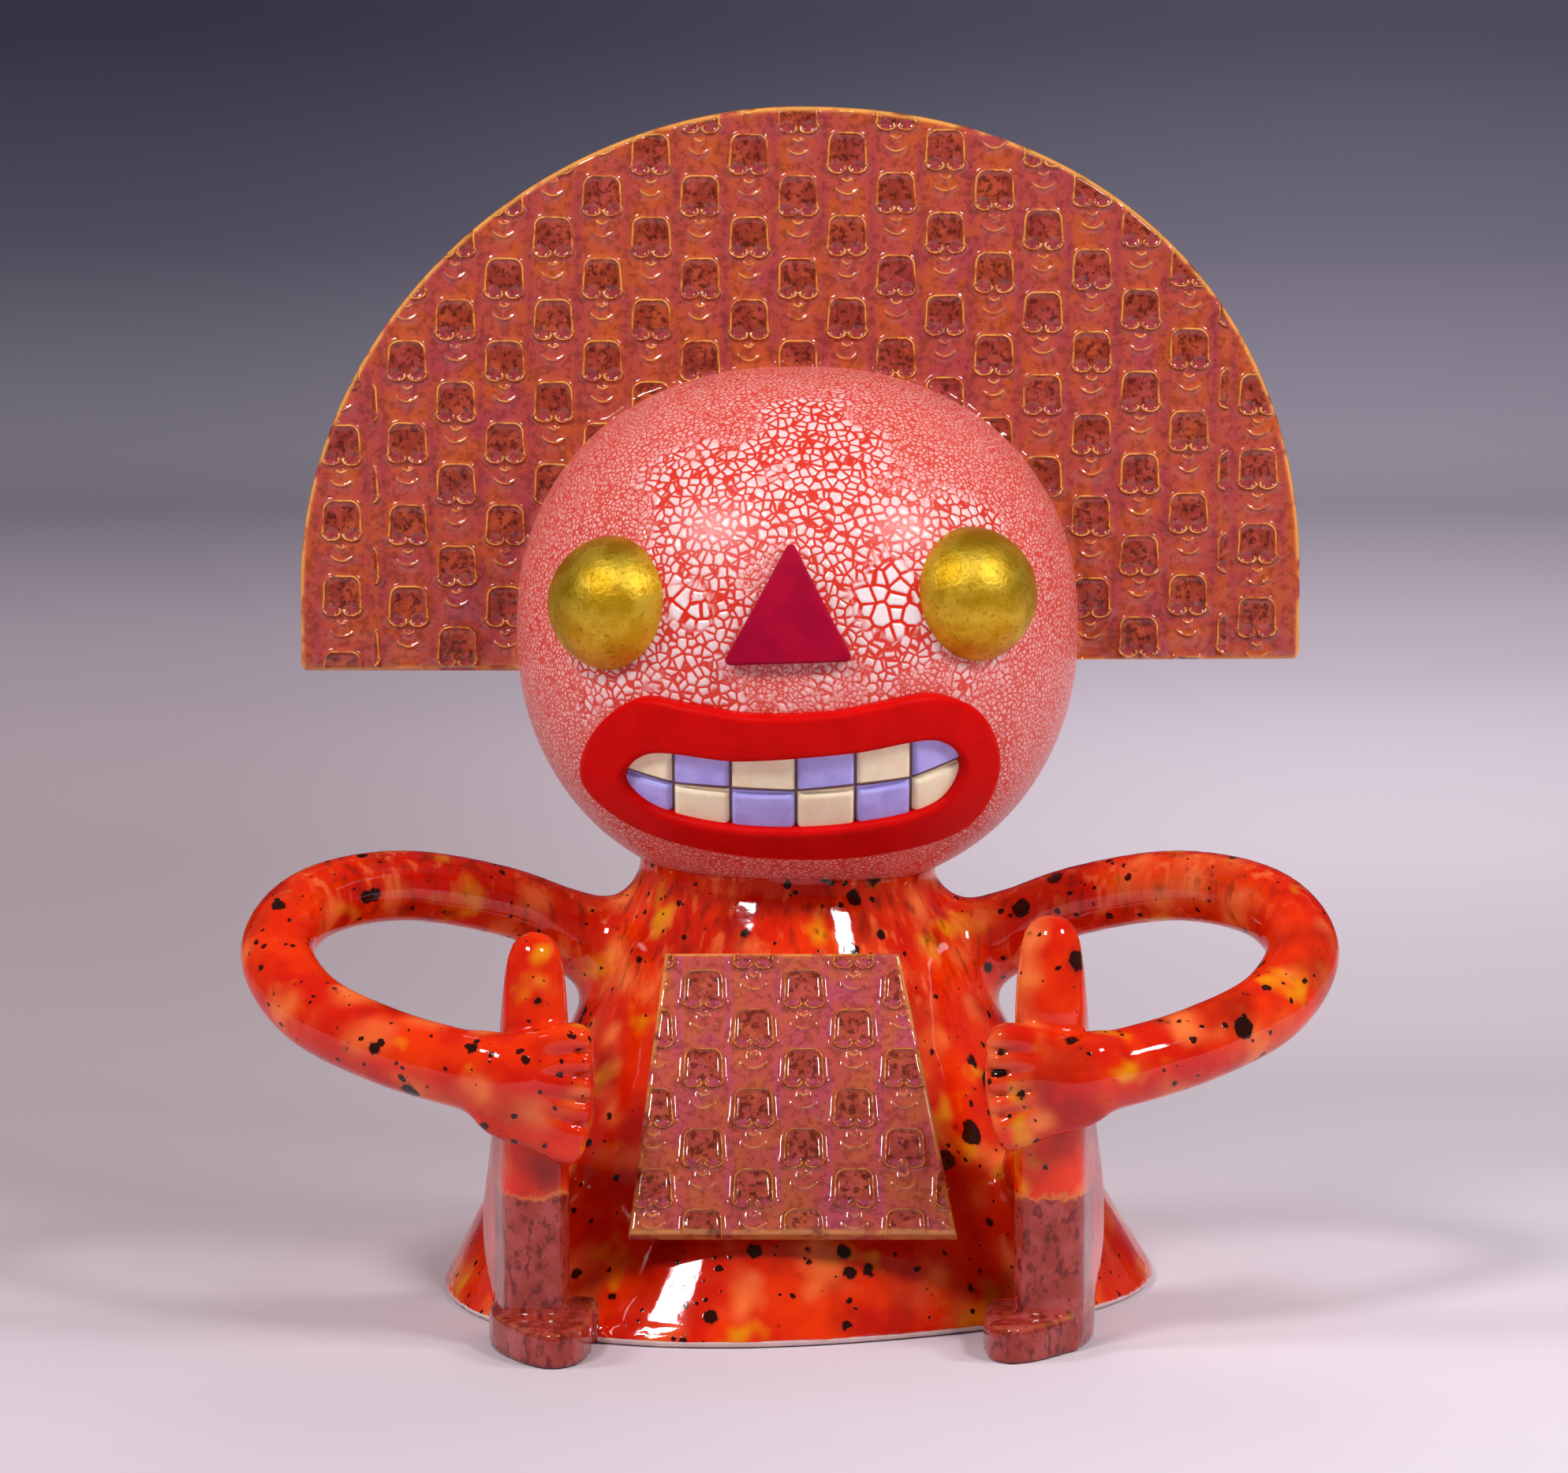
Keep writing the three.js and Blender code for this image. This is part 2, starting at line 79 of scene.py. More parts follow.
def smooth_line(knots: Sequence[Sequence[float]], per_span: int, closed: bool) -> Array:
    """Carries a curve through knots: each span is a cubic whose end slopes follow the neighbouring knots, with
    knots spaced by the square root of their distance.

    Args:
        knots: points of two or three numbers.
        per_span: points made for each span.
        closed: whether the last knot runs on to the first.

    Returns:
        The curve's points, one row each.
    """
    points = np.asarray(knots, float)
    if closed:
        before, start = np.roll(points, 1, 0), points
        end, after = np.roll(points, -1, 0), np.roll(points, -2, 0)
    else:
        longer = np.vstack([2 * points[0] - points[1], points, 2 * points[-1] - points[-2]])
        before, start, end, after = longer[:-3], longer[1:-2], longer[2:-1], longer[3:]
    gaps = [np.sqrt(np.linalg.norm(b - a, axis=1, keepdims=True)) for a, b in
            ((before, start), (start, end), (end, after))]
    out = ((start - before) / gaps[0] - (end - before) / (gaps[0] + gaps[1]) + (end - start) / gaps[1]) * gaps[1]
    into = ((end - start) / gaps[1] - (after - start) / (gaps[1] + gaps[2]) + (after - end) / gaps[2]) * gaps[1]
    u = np.linspace(0, 1, per_span, endpoint=False)[None, :, None]
    start, end, out, into = (a[:, None, :] for a in (start, end, out, into))
    curve = (2 * u**3 - 3 * u**2 + 1) * start + (u**3 - 2 * u**2 + u) * out
    curve = curve + (3 * u**2 - 2 * u**3) * end + (u**3 - u**2) * into
    curve = curve.reshape(-1, points.shape[1])
    return curve if closed else np.vstack([curve, points[-1]])


def even_line(points: Array, count: int, closed: bool) -> Array:
    """Spaces points evenly along a line: each coordinate is read off against the length run so far.

    Args:
        points: the line's points, one row each.
        count: number of points wanted.
        closed: whether the line runs back to its first point, which isn't repeated.

    Returns:
        The evenly spaced points.
    """
    line = np.vstack([points, points[:1]]) if closed else points
    run = np.concatenate([[0], np.cumsum(np.linalg.norm(np.diff(line, axis=0), axis=1))])
    wanted = np.linspace(0, run[-1], count, endpoint=not closed)
    return np.stack([np.interp(wanted, run, line[:, i]) for i in range(line.shape[1])], 1)


def smooth_step(value: Array, low: float, high: float) -> Array:
    """Runs from 0 at low to 1 at high with level ends: 3 t squared less 2 t cubed."""
    t = np.clip((value - low) / (high - low), 0, 1)
    return t * t * (3 - 2 * t)


def soft_min(a: Array, b: Array, blend: Array | float) -> Array:
    """Joins two distance fields with a fillet: the lower one, less (blend - gap) squared over 4 blends."""
    return np.minimum(a, b) - np.maximum(blend - np.abs(a - b), 0) ** 2 / (4 * blend)


def soft_max(a: Array, b: Array, blend: Array | float) -> Array:
    """Cuts one distance field with another and rounds the edge, as soft_min does upside down."""
    return -soft_min(-a, -b, blend)


def outline_distance(outline: Array, u: Array, v: Array) -> Array:
    """Measures the distance to a closed outline, negative inside: the least distance to any edge, with its sign
    from how often a ray along +u crosses the outline.

    Args:
        outline: corners, one row each.
        u: first coordinates of the places measured.
        v: second coordinates, of any shape that fits u's.

    Returns:
        Signed distances, in the shape that u and v give together.
    """
    shape = np.broadcast_shapes(np.shape(u), np.shape(v))
    nearest = np.full(shape, 1e9, np.float32)
    inside = np.zeros(shape, bool)
    for (au, av), (bu, bv) in zip(outline, np.roll(outline, -1, 0)):
        eu, ev = bu - au, bv - av
        t = np.clip(((u - au) * eu + (v - av) * ev) / max(eu * eu + ev * ev, 1e-12), 0, 1)
        nearest = np.minimum(nearest, (u - au - t * eu) ** 2 + (v - av - t * ev) ** 2)
        if av != bv:
            inside ^= ((av <= v) != (bv <= v)) & (u < au + (v - av) * eu / ev)
    return np.where(inside, -1, 1) * np.sqrt(nearest)


def wobble(x: Array, y: Array, z: Array, length: float, size: float) -> Array:
    """Adds the unevenness of handwork: three crossed sine waves of one length, which sum to about size."""
    k = 2 * np.pi / length
    waves = np.sin(k * (x + 0.4 * z) + 1.3) * np.cos(k * (y - 0.3 * x) + 0.4)
    waves = waves + np.sin(k * (0.8 * z + 0.5 * y) + 2.1) + 0.6 * np.cos(1.7 * k * (z - 0.6 * x) + 0.7)
    return size * waves / 2.2


# Meshes


def grid_faces(rows: int, columns: int, wrap_rows: bool = False, wrap_columns: bool = False) -> Array:
    """Numbers the four corners of every cell of a grid of points that is stored row by row.

    Args:
        rows: rows of points.
        columns: points in a row.
        wrap_rows: whether the last row joins the first.
        wrap_columns: whether the last column joins the first.

    Returns:
        One row of four point numbers for each cell.
    """
    i, j = np.arange(rows - (not wrap_rows)), np.arange(columns - (not wrap_columns))
    i, j = i[:, None], j[None, :]
    down, along = (i + 1) % rows, (j + 1) % columns
    corners = (i * columns + j, i * columns + along, down * columns + along, down * columns + j)
    return np.stack([np.broadcast_to(c, (len(i), j.shape[1])).ravel() for c in corners], 1)


def make_piece(name: str, points: Array, quads: Array, caps: Iterable[Sequence[int]] = (),
               sharp_above: float | None = None) -> bpy.types.Object:
    """Makes a smooth-shaded mesh object from points in the figure's millimetres.

    Args:
        name: the piece's name.
        points: places from the bell's axis, one row each.
        quads: four point numbers a row.
        caps: faces with any number of corners.
        sharp_above: angle in radians from which an edge stays sharp.

    Returns:
        The object, at the origin, in metres of the part's frame.
    """
    mesh = bpy.data.meshes.new(name)
    caps = [list(map(int, cap)) for cap in caps]
    corners = np.concatenate([quads.ravel(), *caps]).astype(np.int32)
    sizes = np.concatenate([np.full(len(quads), 4), [len(cap) for cap in caps]]).astype(np.int32)
    starts = np.concatenate([[0], np.cumsum(sizes)[:-1]]).astype(np.int32)
    mesh.vertices.add(len(points))
    mesh.loops.add(len(corners))
    mesh.polygons.add(len(sizes))
    placed = (points + np.array([0, BELL_BACK, 0])) * MM
    mesh.vertices.foreach_set("co", placed.astype(np.float32).ravel())
    mesh.loops.foreach_set("vertex_index", corners)
    mesh.polygons.foreach_set("loop_start", starts)
    mesh.polygons.foreach_set("loop_total", sizes)
    mesh.polygons.foreach_set("use_smooth", np.ones(len(sizes), bool))
    mesh.update(calc_edges=True)
    mesh.validate()
    if sharp_above is not None:
        mesh.set_sharp_from_angle(angle=sharp_above)
    piece = bpy.data.objects.new(name, mesh)
    bpy.context.scene.collection.objects.link(piece)
    return piece


def paint(piece: bpy.types.Object, name: str, values: Array) -> None:
    """Stores one number for each point of a piece, for its material to read."""
    layer = piece.data.attributes.new(name, "FLOAT", "POINT")
    layer.data.foreach_set("value", np.asarray(values, np.float32).ravel())


def dress(piece: bpy.types.Object, material: bpy.types.Material, finish: Finish, *nodes: str) -> bpy.types.Object:
    """Gives a piece its material, puts it in place of CAD nodes and lets it ride on the figure.

    Args:
        piece: the piece to finish.
        material: what it is finished with.
        finish: not used.
        nodes: CAD nodes that the piece stands for.

    Returns:
        The same piece.
    """
    piece.data.materials.clear()
    piece.data.materials.append(material)
    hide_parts(*nodes)
    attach(piece, "root")
    LOG.info("%s: %d points, %d faces", piece.name, len(piece.data.vertices), len(piece.data.polygons))
    return piece


@dataclass
class Lattice:
    """Distances kept at the crossings of three sets of lines, from which a surface is drawn where they are zero."""

    x: Array
    y: Array
    z: Array
    values: Array = field(init=False)

    def __post_init__(self) -> None:
        """Starts with nothing solid."""
        self.values = np.full((len(self.x), len(self.y), len(self.z)), 50, np.float32)

    def block(self, low: Sequence[float], high: Sequence[float]) -> tuple[slice, ...]:
        """Finds the crossings inside a box, as one slice for each direction."""
        return tuple(slice(*np.searchsorted(line, (a, b))) for line, a, b in
                     zip((self.x, self.y, self.z), low, high))

    def places(self, block: tuple[slice, ...]) -> tuple[Array, Array, Array]:
        """Gives a block's coordinates, shaped so that together they span it."""
        x, y, z = (line[cut].astype(np.float32) for line, cut in zip((self.x, self.y, self.z), block))
        return x[:, None, None], y[None, :, None], z[None, None, :]

    def join(self, shape: Field, low: Sequence[float], high: Sequence[float], blend: float | Field) -> None:
        """Adds a shape inside a box, with a fillet of the given size where it meets what is there."""
        block = self.block(low, high)
        at = self.places(block)
        size = blend(*at) if callable(blend) else blend
        self.values[block] = soft_min(self.values[block], shape(*at), size)

    def cut(self, shape: Field, low: Sequence[float], high: Sequence[float], blend: float) -> None:
        """Takes a shape away inside a box, with an edge rounded by the given size."""
        block = self.block(low, high)
        self.values[block] = soft_max(self.values[block], -shape(*self.places(block)), blend)

    def surface(self) -> tuple[Array, Array]:
        """Draws the surface: one point in each cell that it crosses, at the mean of the crossings of the cell's
        edges, moved twice down the slope of the distance onto the surface, and one face across each crossed edge.

        Returns:
            The points, and four point numbers for each face, turned outwards.
        """
        lines = (self.x, self.y, self.z)
        inside = self.values < 0
        count = sum(inside[a:len(self.x) - 1 + a, b:len(self.y) - 1 + b, c:len(self.z) - 1 + c].astype(np.int8)
                    for a in (0, 1) for b in (0, 1) for c in (0, 1))
        cells = np.argwhere((count > 0) & (count < 8))
        number = np.full(count.shape, -1, np.int32)
        number[tuple(cells.T)] = np.arange(len(cells))
        corner = {(a, b, c): self.values[cells[:, 0] + a, cells[:, 1] + b, cells[:, 2] + c].astype(float)
                  for a in (0, 1) for b in (0, 1) for c in (0, 1)}
        total, crossings = np.zeros((len(cells), 3)), np.zeros(len(cells))
        for axis in range(3):
            for a in (0, 1):
                for b in (0, 1):
                    near = [0, 0, 0]
                    near[(axis + 1) % 3], near[(axis + 2) % 3] = a, b
                    far = list(near)
                    far[axis] = 1
                    start, end = corner[tuple(near)], corner[tuple(far)]
                    crossed = (start < 0) != (end < 0)
                    share = np.where(crossed, start / np.where(crossed, start - end, 1), 0)
                    place = np.array(near, float) + share[:, None] * (np.arange(3) == axis)
                    total += np.where(crossed[:, None], place, 0)
                    crossings += crossed
        local = total / crossings[:, None]
        size = np.stack([np.diff(line)[cells[:, i]] for i, line in enumerate(lines)], 1)
        for _ in range(2):
            value, slope = self._inside_cell(corner, local)
            slope = slope / size
            step = value[:, None] * slope / np.maximum((slope**2).sum(1, keepdims=True), 0.05)
            local = np.clip(local - step / size, 0, 1)
        base = np.stack([line[cells[:, i]] for i, line in enumerate(lines)], 1)
        return base + local * size, self._faces(inside, number)

    @staticmethod
    def _inside_cell(corner: dict[tuple[int, int, int], Array], at: Array) -> tuple[Array, Array]:
        """Reads value and slope at a place inside a cell, straight between the corners along each direction."""
        value, slope = np.zeros(len(at)), np.zeros_like(at)
        for key, known in corner.items():
            weights = [at[:, i] if key[i] else 1 - at[:, i] for i in range(3)]
            value += known * weights[0] * weights[1] * weights[2]
            for i in range(3):
                others = weights[(i + 1) % 3] * weights[(i + 2) % 3]
                slope[:, i] += known * others * (1 if key[i] else -1)
        return value, slope

    @staticmethod
    def _faces(inside: Array, number: Array) -> Array:
        """Spans each lattice edge that the surface crosses with the points of the four cells round it."""
        faces = []
        for axis in range(3):
            across, up = (axis + 1) % 3, (axis + 2) % 3
            low = np.take(inside, range(inside.shape[axis] - 1), axis)
            high = np.take(inside, range(1, inside.shape[axis]), axis)
            at = np.argwhere(low != high)
            at = at[(at[:, across] > 0) & (at[:, up] > 0)]
            at = at[(at[:, across] < number.shape[across]) & (at[:, up] < number.shape[up])]
            ring = []
            for back, down in ((1, 1), (0, 1), (0, 0), (1, 0)):
                cell = at.copy()
                cell[:, across] -= back
                cell[:, up] -= down
                ring.append(number[tuple(cell.T)])
            ring = np.stack(ring, 1)
            outwards = low[tuple(at.T)]
            faces.append(np.where(outwards[:, None], ring, ring[:, ::-1]))
        return np.vstack(faces)


# Shader maths


class Wire:
    """A number that runs between shader nodes. Python's operators on it add the nodes that work it out."""

    def __init__(self, bench: "Bench", socket: bpy.types.NodeSocket) -> None:
        """Keeps the socket and the bench that adds further nodes."""
        self.bench = bench
        self.socket = socket

    def math(self, operation: str, *others: "Wire | float") -> "Wire":
        """Adds one Math node that takes this number first."""
        inputs = dict(enumerate((self, *others)))
        return self.bench.add("ShaderNodeMath", {"operation": operation}, inputs).out()

    def __add__(self, other: "Wire | float") -> "Wire":
        """Adds."""
        return self.math("ADD", other)

    def __sub__(self, other: "Wire | float") -> "Wire":
        """Subtracts."""
        return self.math("SUBTRACT", other)

    def __rsub__(self, other: float) -> "Wire":
        """Subtracts this from a plain number."""
        return self.math("MULTIPLY", -1.0).math("ADD", other)

    def __mul__(self, other: "Wire | float") -> "Wire":
        """Multiplies."""
        return self.math("MULTIPLY", other)

    def __truediv__(self, other: "Wire | float") -> "Wire":
        """Divides."""
        return self.math("DIVIDE", other)

    def __pow__(self, other: "Wire | float") -> "Wire":
        """Raises to a power."""
        return self.math("POWER", other)

    def __mod__(self, other: "Wire | float") -> "Wire":
        """Takes the rest after whole steps, never below nought."""
        return self.math("FLOORED_MODULO", other)

    def __neg__(self) -> "Wire":
        """Changes the sign."""
        return self.math("MULTIPLY", -1.0)

    def __abs__(self) -> "Wire":
        """Drops the sign."""
        return self.math("ABSOLUTE")

    __radd__ = __add__
    __rmul__ = __mul__


Value = Wire | Array | float


def least(a: Value, b: Value) -> Value:
    """Takes the lower of two values, on arrays and on wires alike."""
    if isinstance(b, Wire) and not isinstance(a, Wire):
        a, b = b, a
    return a.math("MINIMUM", b) if isinstance(a, Wire) else np.minimum(a, b)


def most(a: Value, b: Value) -> Value:
    """Takes the higher of two values, on arrays and on wires alike."""
    return -least(-a, -b) if not isinstance(a, Wire) else a.math("MAXIMUM", b)


def root(a: Value) -> Value:
    """Takes the square root, on arrays and on wires alike."""
    return a.math("SQRT") if isinstance(a, Wire) else np.sqrt(a)


def nearest_whole(a: Value) -> Value:
    """Rounds to a whole number, on arrays and on wires alike."""
    return a.math("ROUND") if isinstance(a, Wire) else np.round(a)


def hill(a: Value, width: float) -> Value:
    """Draws a smooth hill, 1 where a is nought and gone three widths away: the natural number to minus (a / width)
    squared."""
    scaled = a * (1 / width)
    power = -(scaled * scaled)
    return power.math("EXPONENT") if isinstance(power, Wire) else np.exp(power)


def ease(a: Value, low: float, high: float) -> Value:
    """Runs smoothly from 0 at low to 1 at high, on arrays and on wires alike."""
    t = (a - low) * (1 / (high - low))
    t = most(least(t, 1.0), 0.0)
    return t * t * (3 - 2 * t)


def colour(text: str) -> tuple[float, float, float, float]:
    """Turns a colour of six hexadecimal digits, as it looks on a screen, into light values."""
    parts = [int(text[i:i + 2], 16) / 255 for i in (0, 2, 4)]
    light = [p / 12.92 if p <= 0.04045 else ((p + 0.055) / 1.055) ** 2.4 for p in parts]
    return (*light, 1.0)


class Placed:
    """One node on the bench."""

    def __init__(self, bench: "Bench", node: bpy.types.Node) -> None:
        """Keeps the node."""
        self.bench = bench
        self.node = node

    def out(self, name: str | int = 0) -> Wire:
        """Gives one of its results."""
        return Wire(self.bench, self.node.outputs[name])


class Bench:
    """Builds one material's nodes."""

    def __init__(self, name: str) -> None:
        """Starts an empty material."""
        self.material = bpy.data.materials.new(name)
        self.material.use_nodes = True
        self.tree = self.material.node_tree
        self.tree.nodes.clear()
        self.place = self.add("ShaderNodeTexCoord").out("Object")

    def add(self, kind: str, settings: dict | None = None, inputs: dict | None = None) -> Placed:
        """Adds a node: its settings first, then the values or links of its sockets.

        Args:
            kind: the node's type.
            settings: its own settings by name. "stops" fills a colour ramp with (place, colour) pairs.
            inputs: values or wires by socket name or number.

        Returns:
            The node, placed.
        """
        node = self.tree.nodes.new(kind)
        for key, value in (settings or {}).items():
            if key == "stops":
                ramp = node.color_ramp.elements
                while len(ramp) < len(value):
                    ramp.new(0.5)
                for stop, (place, shade) in zip(ramp, value):
                    stop.position, stop.color = place, shade
            else:
                setattr(node, key, value)
        for key, value in (inputs or {}).items():
            if isinstance(value, Wire):
                self.tree.links.new(value.socket, node.inputs[key])
            else:
                node.inputs[key].default_value = value
        return Placed(self, node)

    def blend(self, share: Value, a: Wire | Sequence[float], b: Wire | Sequence[float],
              how: str = "MIX") -> Wire:
        """Mixes two colours: a where share is 0, b where it is 1."""
        settings = {"data_type": "RGBA", "blend_type": how, "clamp_factor": True}
        return self.add("ShaderNodeMix", settings, {0: share, 6: a, 7: b}).out(2)

    def axes(self) -> tuple[Wire, Wire, Wire]:
        """Gives the place in millimetres from the bell's axis, one number for each direction."""
        parts = self.add("ShaderNodeSeparateXYZ", None, {0: self.place})
        return parts.out("X") * 1000, parts.out("Y") * 1000 - BELL_BACK, parts.out("Z") * 1000

    def noise(self, length: float, detail: float = 3, rough: float = 0.5, shift: float = 0,
              at: Wire | None = None, stretch: Sequence[float] = (1, 1, 1)) -> Wire:
        """Makes cloudy noise, about 0.25 to 0.75, with clouds of the given length in millimetres."""
        at = self.moved(at or self.place, shift, stretch)
        inputs = {"Vector": at, "Scale": 1000 / length, "Detail": detail, "Roughness": rough}
        return self.add("ShaderNodeTexNoise", None, inputs).out(0)

    def moved(self, at: Wire, shift: float, stretch: Sequence[float] = (1, 1, 1)) -> Wire:
        """Shifts and stretches places, so that two patterns of one kind don't fall together."""
        inputs = {"Vector": at, "Location": (shift, 2 * shift, -shift), "Scale": tuple(stretch)}
        return self.add("ShaderNodeMapping", None, inputs).out()

    def cells(self, length: float, feature: str = "F1", at: Wire | None = None, shift: float = 0,
              jitter: float = 1) -> Placed:
        """Makes a pattern of cells of the given length in millimetres."""
        inputs = {"Vector": self.moved(at or self.place, shift), "Scale": 1000 / length, "Randomness": jitter}
        return self.add("ShaderNodeTexVoronoi", {"feature": feature}, inputs)

    def spots(self, length: float, least_size: float, most_size: float, at: Wire, shift: float = 0,
              crowd: Value = 1.0) -> Wire:
        """Scatters spots, one in a cell, with a random radius that is seldom the greatest.

        Args:
            length: a cell's length in millimetres.
            least_size: least radius in millimetres.
            most_size: greatest radius.
            at: the places, pushed about for ragged edges.
            shift: moves the pattern.
            crowd: scales the radius from place to place.

        Returns:
            Millimetres inside the nearest spot's edge, below nought outside.
        """
        cells = self.cells(length, at=at, shift=shift)
        chance = cells.out("Color")
        radius = (chance * chance * chance * (most_size - least_size) * 2.2 + least_size) * crowd
        return radius - cells.out("Distance") * length

    def painted(self, name: str) -> Wire:
        """Reads the numbers that were stored on the mesh."""
        return self.add("ShaderNodeAttribute", {"attribute_name": name}).out("Fac")

    def pushed(self, at: Wire, length: float, far: float) -> Wire:
        """Pushes places about by a noise of the given length, as far as the given millimetres."""
        inputs = {"Vector": at, "Scale": 1000 / length, "Detail": 2.0}
        noise = self.add("ShaderNodeTexNoise", None, inputs).out(1)
        centred = self.add("ShaderNodeVectorMath", {"operation": "SUBTRACT"}, {0: noise, 1: (0.5, 0.5, 0.5)}).out()
        scaled = self.add("ShaderNodeVectorMath", {"operation": "SCALE"}, {0: centred, "Scale": 2 * far * MM}).out()
        return self.add("ShaderNodeVectorMath", {"operation": "ADD"}, {0: at, 1: scaled}).out()

    def ramp(self, value: Wire, *stops: tuple[float, Sequence[float] | float]) -> Wire:
        """Reads a colour or a shade of grey off a row of stops."""
        full = [(at, shade if not isinstance(shade, (int, float)) else (shade, shade, shade, 1)) for at, shade in stops]
        return self.add("ShaderNodeValToRGB", {"stops": full}, {0: value}).out()

    def bump(self, height: Wire, far: float, under: Wire | None = None, strength: float = 1) -> Wire:
        """Roughens the surface by a height, where 1 stands for the given millimetres."""
        inputs = {"Height": height, "Distance": far * MM, "Strength": strength}
        if under is not None:
            inputs["Normal"] = under
        return self.add("ShaderNodeBump", None, inputs).out()

    def shade(self, **inputs: Value | Sequence[float]) -> bpy.types.Material:
        """Ends the material with a shader, whose sockets are named with underscores for spaces."""
        sockets = {key.replace("_", " "): value for key, value in inputs.items()}
        shader = self.add("ShaderNodeBsdfPrincipled", None, sockets).out()
        self.add("ShaderNodeOutputMaterial", None, {"Surface": shader})
        return self.material


# Head


@dataclass
class Head:
    """The round head, a ball a little squarer than an ellipsoid."""

    x: float = 2.6
    z: float = 222.3
    half_width: float = 94
    half_depth: float = 91
    above: float = 86.2
    below: float = 90.7
    power: float = 2.2

    def front(self, x: Array, z: Array) -> Array:
        """Finds the face's Y: the depth times what the other two directions leave of 1, all to the power."""
        up = np.where(z > self.z, self.above, self.below)
        rest = 1 - np.abs((x - self.x) / self.half_width) ** self.power - np.abs((z - self.z) / up) ** self.power
        return -self.half_depth * np.maximum(rest, 0) ** (1 / self.power)

    def outwards(self, x: Array, z: Array) -> Array:
        """Finds the direction straight out of the face at its front, one row for each place."""
        up = np.where(z > self.z, self.above, self.below)
        sizes = (self.half_width, self.half_depth, up)
        parts = (x - self.x, self.front(x, z), z - self.z)
        slope = [np.sign(p) * np.abs(p / s) ** (self.power - 1) / s for p, s in zip(parts, sizes)]
        normal = np.stack(slope, -1)
        return normal / np.linalg.norm(normal, axis=-1, keepdims=True)

    def on_face(self, x: Array, z: Array, height: Array) -> Array:
        """Stands places of the face out by a height, straight out of its surface."""
        foot = np.stack(np.broadcast_arrays(x, self.front(x, z), z), -1)
        return foot + self.outwards(x, z) * np.asarray(height)[..., None]

    def distance(self, x: Array, y: Array, z: Array) -> Array:
        """Measures roughly how far a place is outside the head: (1 less 1 over its reach) times its radius."""
        up = np.where(z > self.z, self.above, self.below)
        dx, dz = x - self.x, z - self.z
        total = np.abs(dx / self.half_width) ** self.power + np.abs(y / self.half_depth) ** self.power
        reach = (total + np.abs(dz / up) ** self.power) ** (1 / self.power)
        radius = np.sqrt(dx * dx + y * y + dz * dz)
        return radius * (1 - 1 / np.maximum(reach, 0.05))

    def section(self, angles: Array, share: float) -> Array:
        """Draws the head's outline from the front, X and Z, at a share of its size."""
        across, up = np.cos(angles), np.sin(angles)
        height = np.where(up > 0, self.above, self.below)
        reach = (np.abs(across) ** self.power + np.abs(up) ** self.power) ** (-1 / self.power)
        return np.stack([self.x + share * self.half_width * reach * across, self.z + share * height * reach * up], 1)

    def build(self, material: bpy.types.Material) -> None:
        """Makes the ball: turns round its height, each place at 1 over the power mean of its direction."""
        rows, columns = 150, 300
        turn = np.linspace(0, 2 * np.pi, columns, endpoint=False)[None, :]
        tilt = np.linspace(0.008, np.pi - 0.008, rows)[:, None]
        way = np.stack(np.broadcast_arrays(np.sin(tilt) * np.cos(turn), np.sin(tilt) * np.sin(turn),
                                           np.cos(tilt)), -1)
        up = np.where(way[..., 2] > 0, self.above, self.below)
        sizes = np.stack(np.broadcast_arrays(self.half_width, self.half_depth, up), -1)
        reach = (np.abs(way) ** self.power).sum(-1) ** (-1 / self.power)
        points = way * sizes * reach[..., None] + (self.x, 0, self.z)
        x, y, z = np.moveaxis(points, -1, 0)
        points = points + way * wobble(x, y, z, 85, 0.25)[..., None]
        caps = (range(columns), range(rows * columns - 1, (rows - 1) * columns - 1, -1))
        faces = grid_faces(rows, columns, wrap_columns=True)[:, ::-1]
        dress(make_piece("head_ball", points.reshape(-1, 3), faces, caps), material, Finish.CRACKLE, "head")


# Body


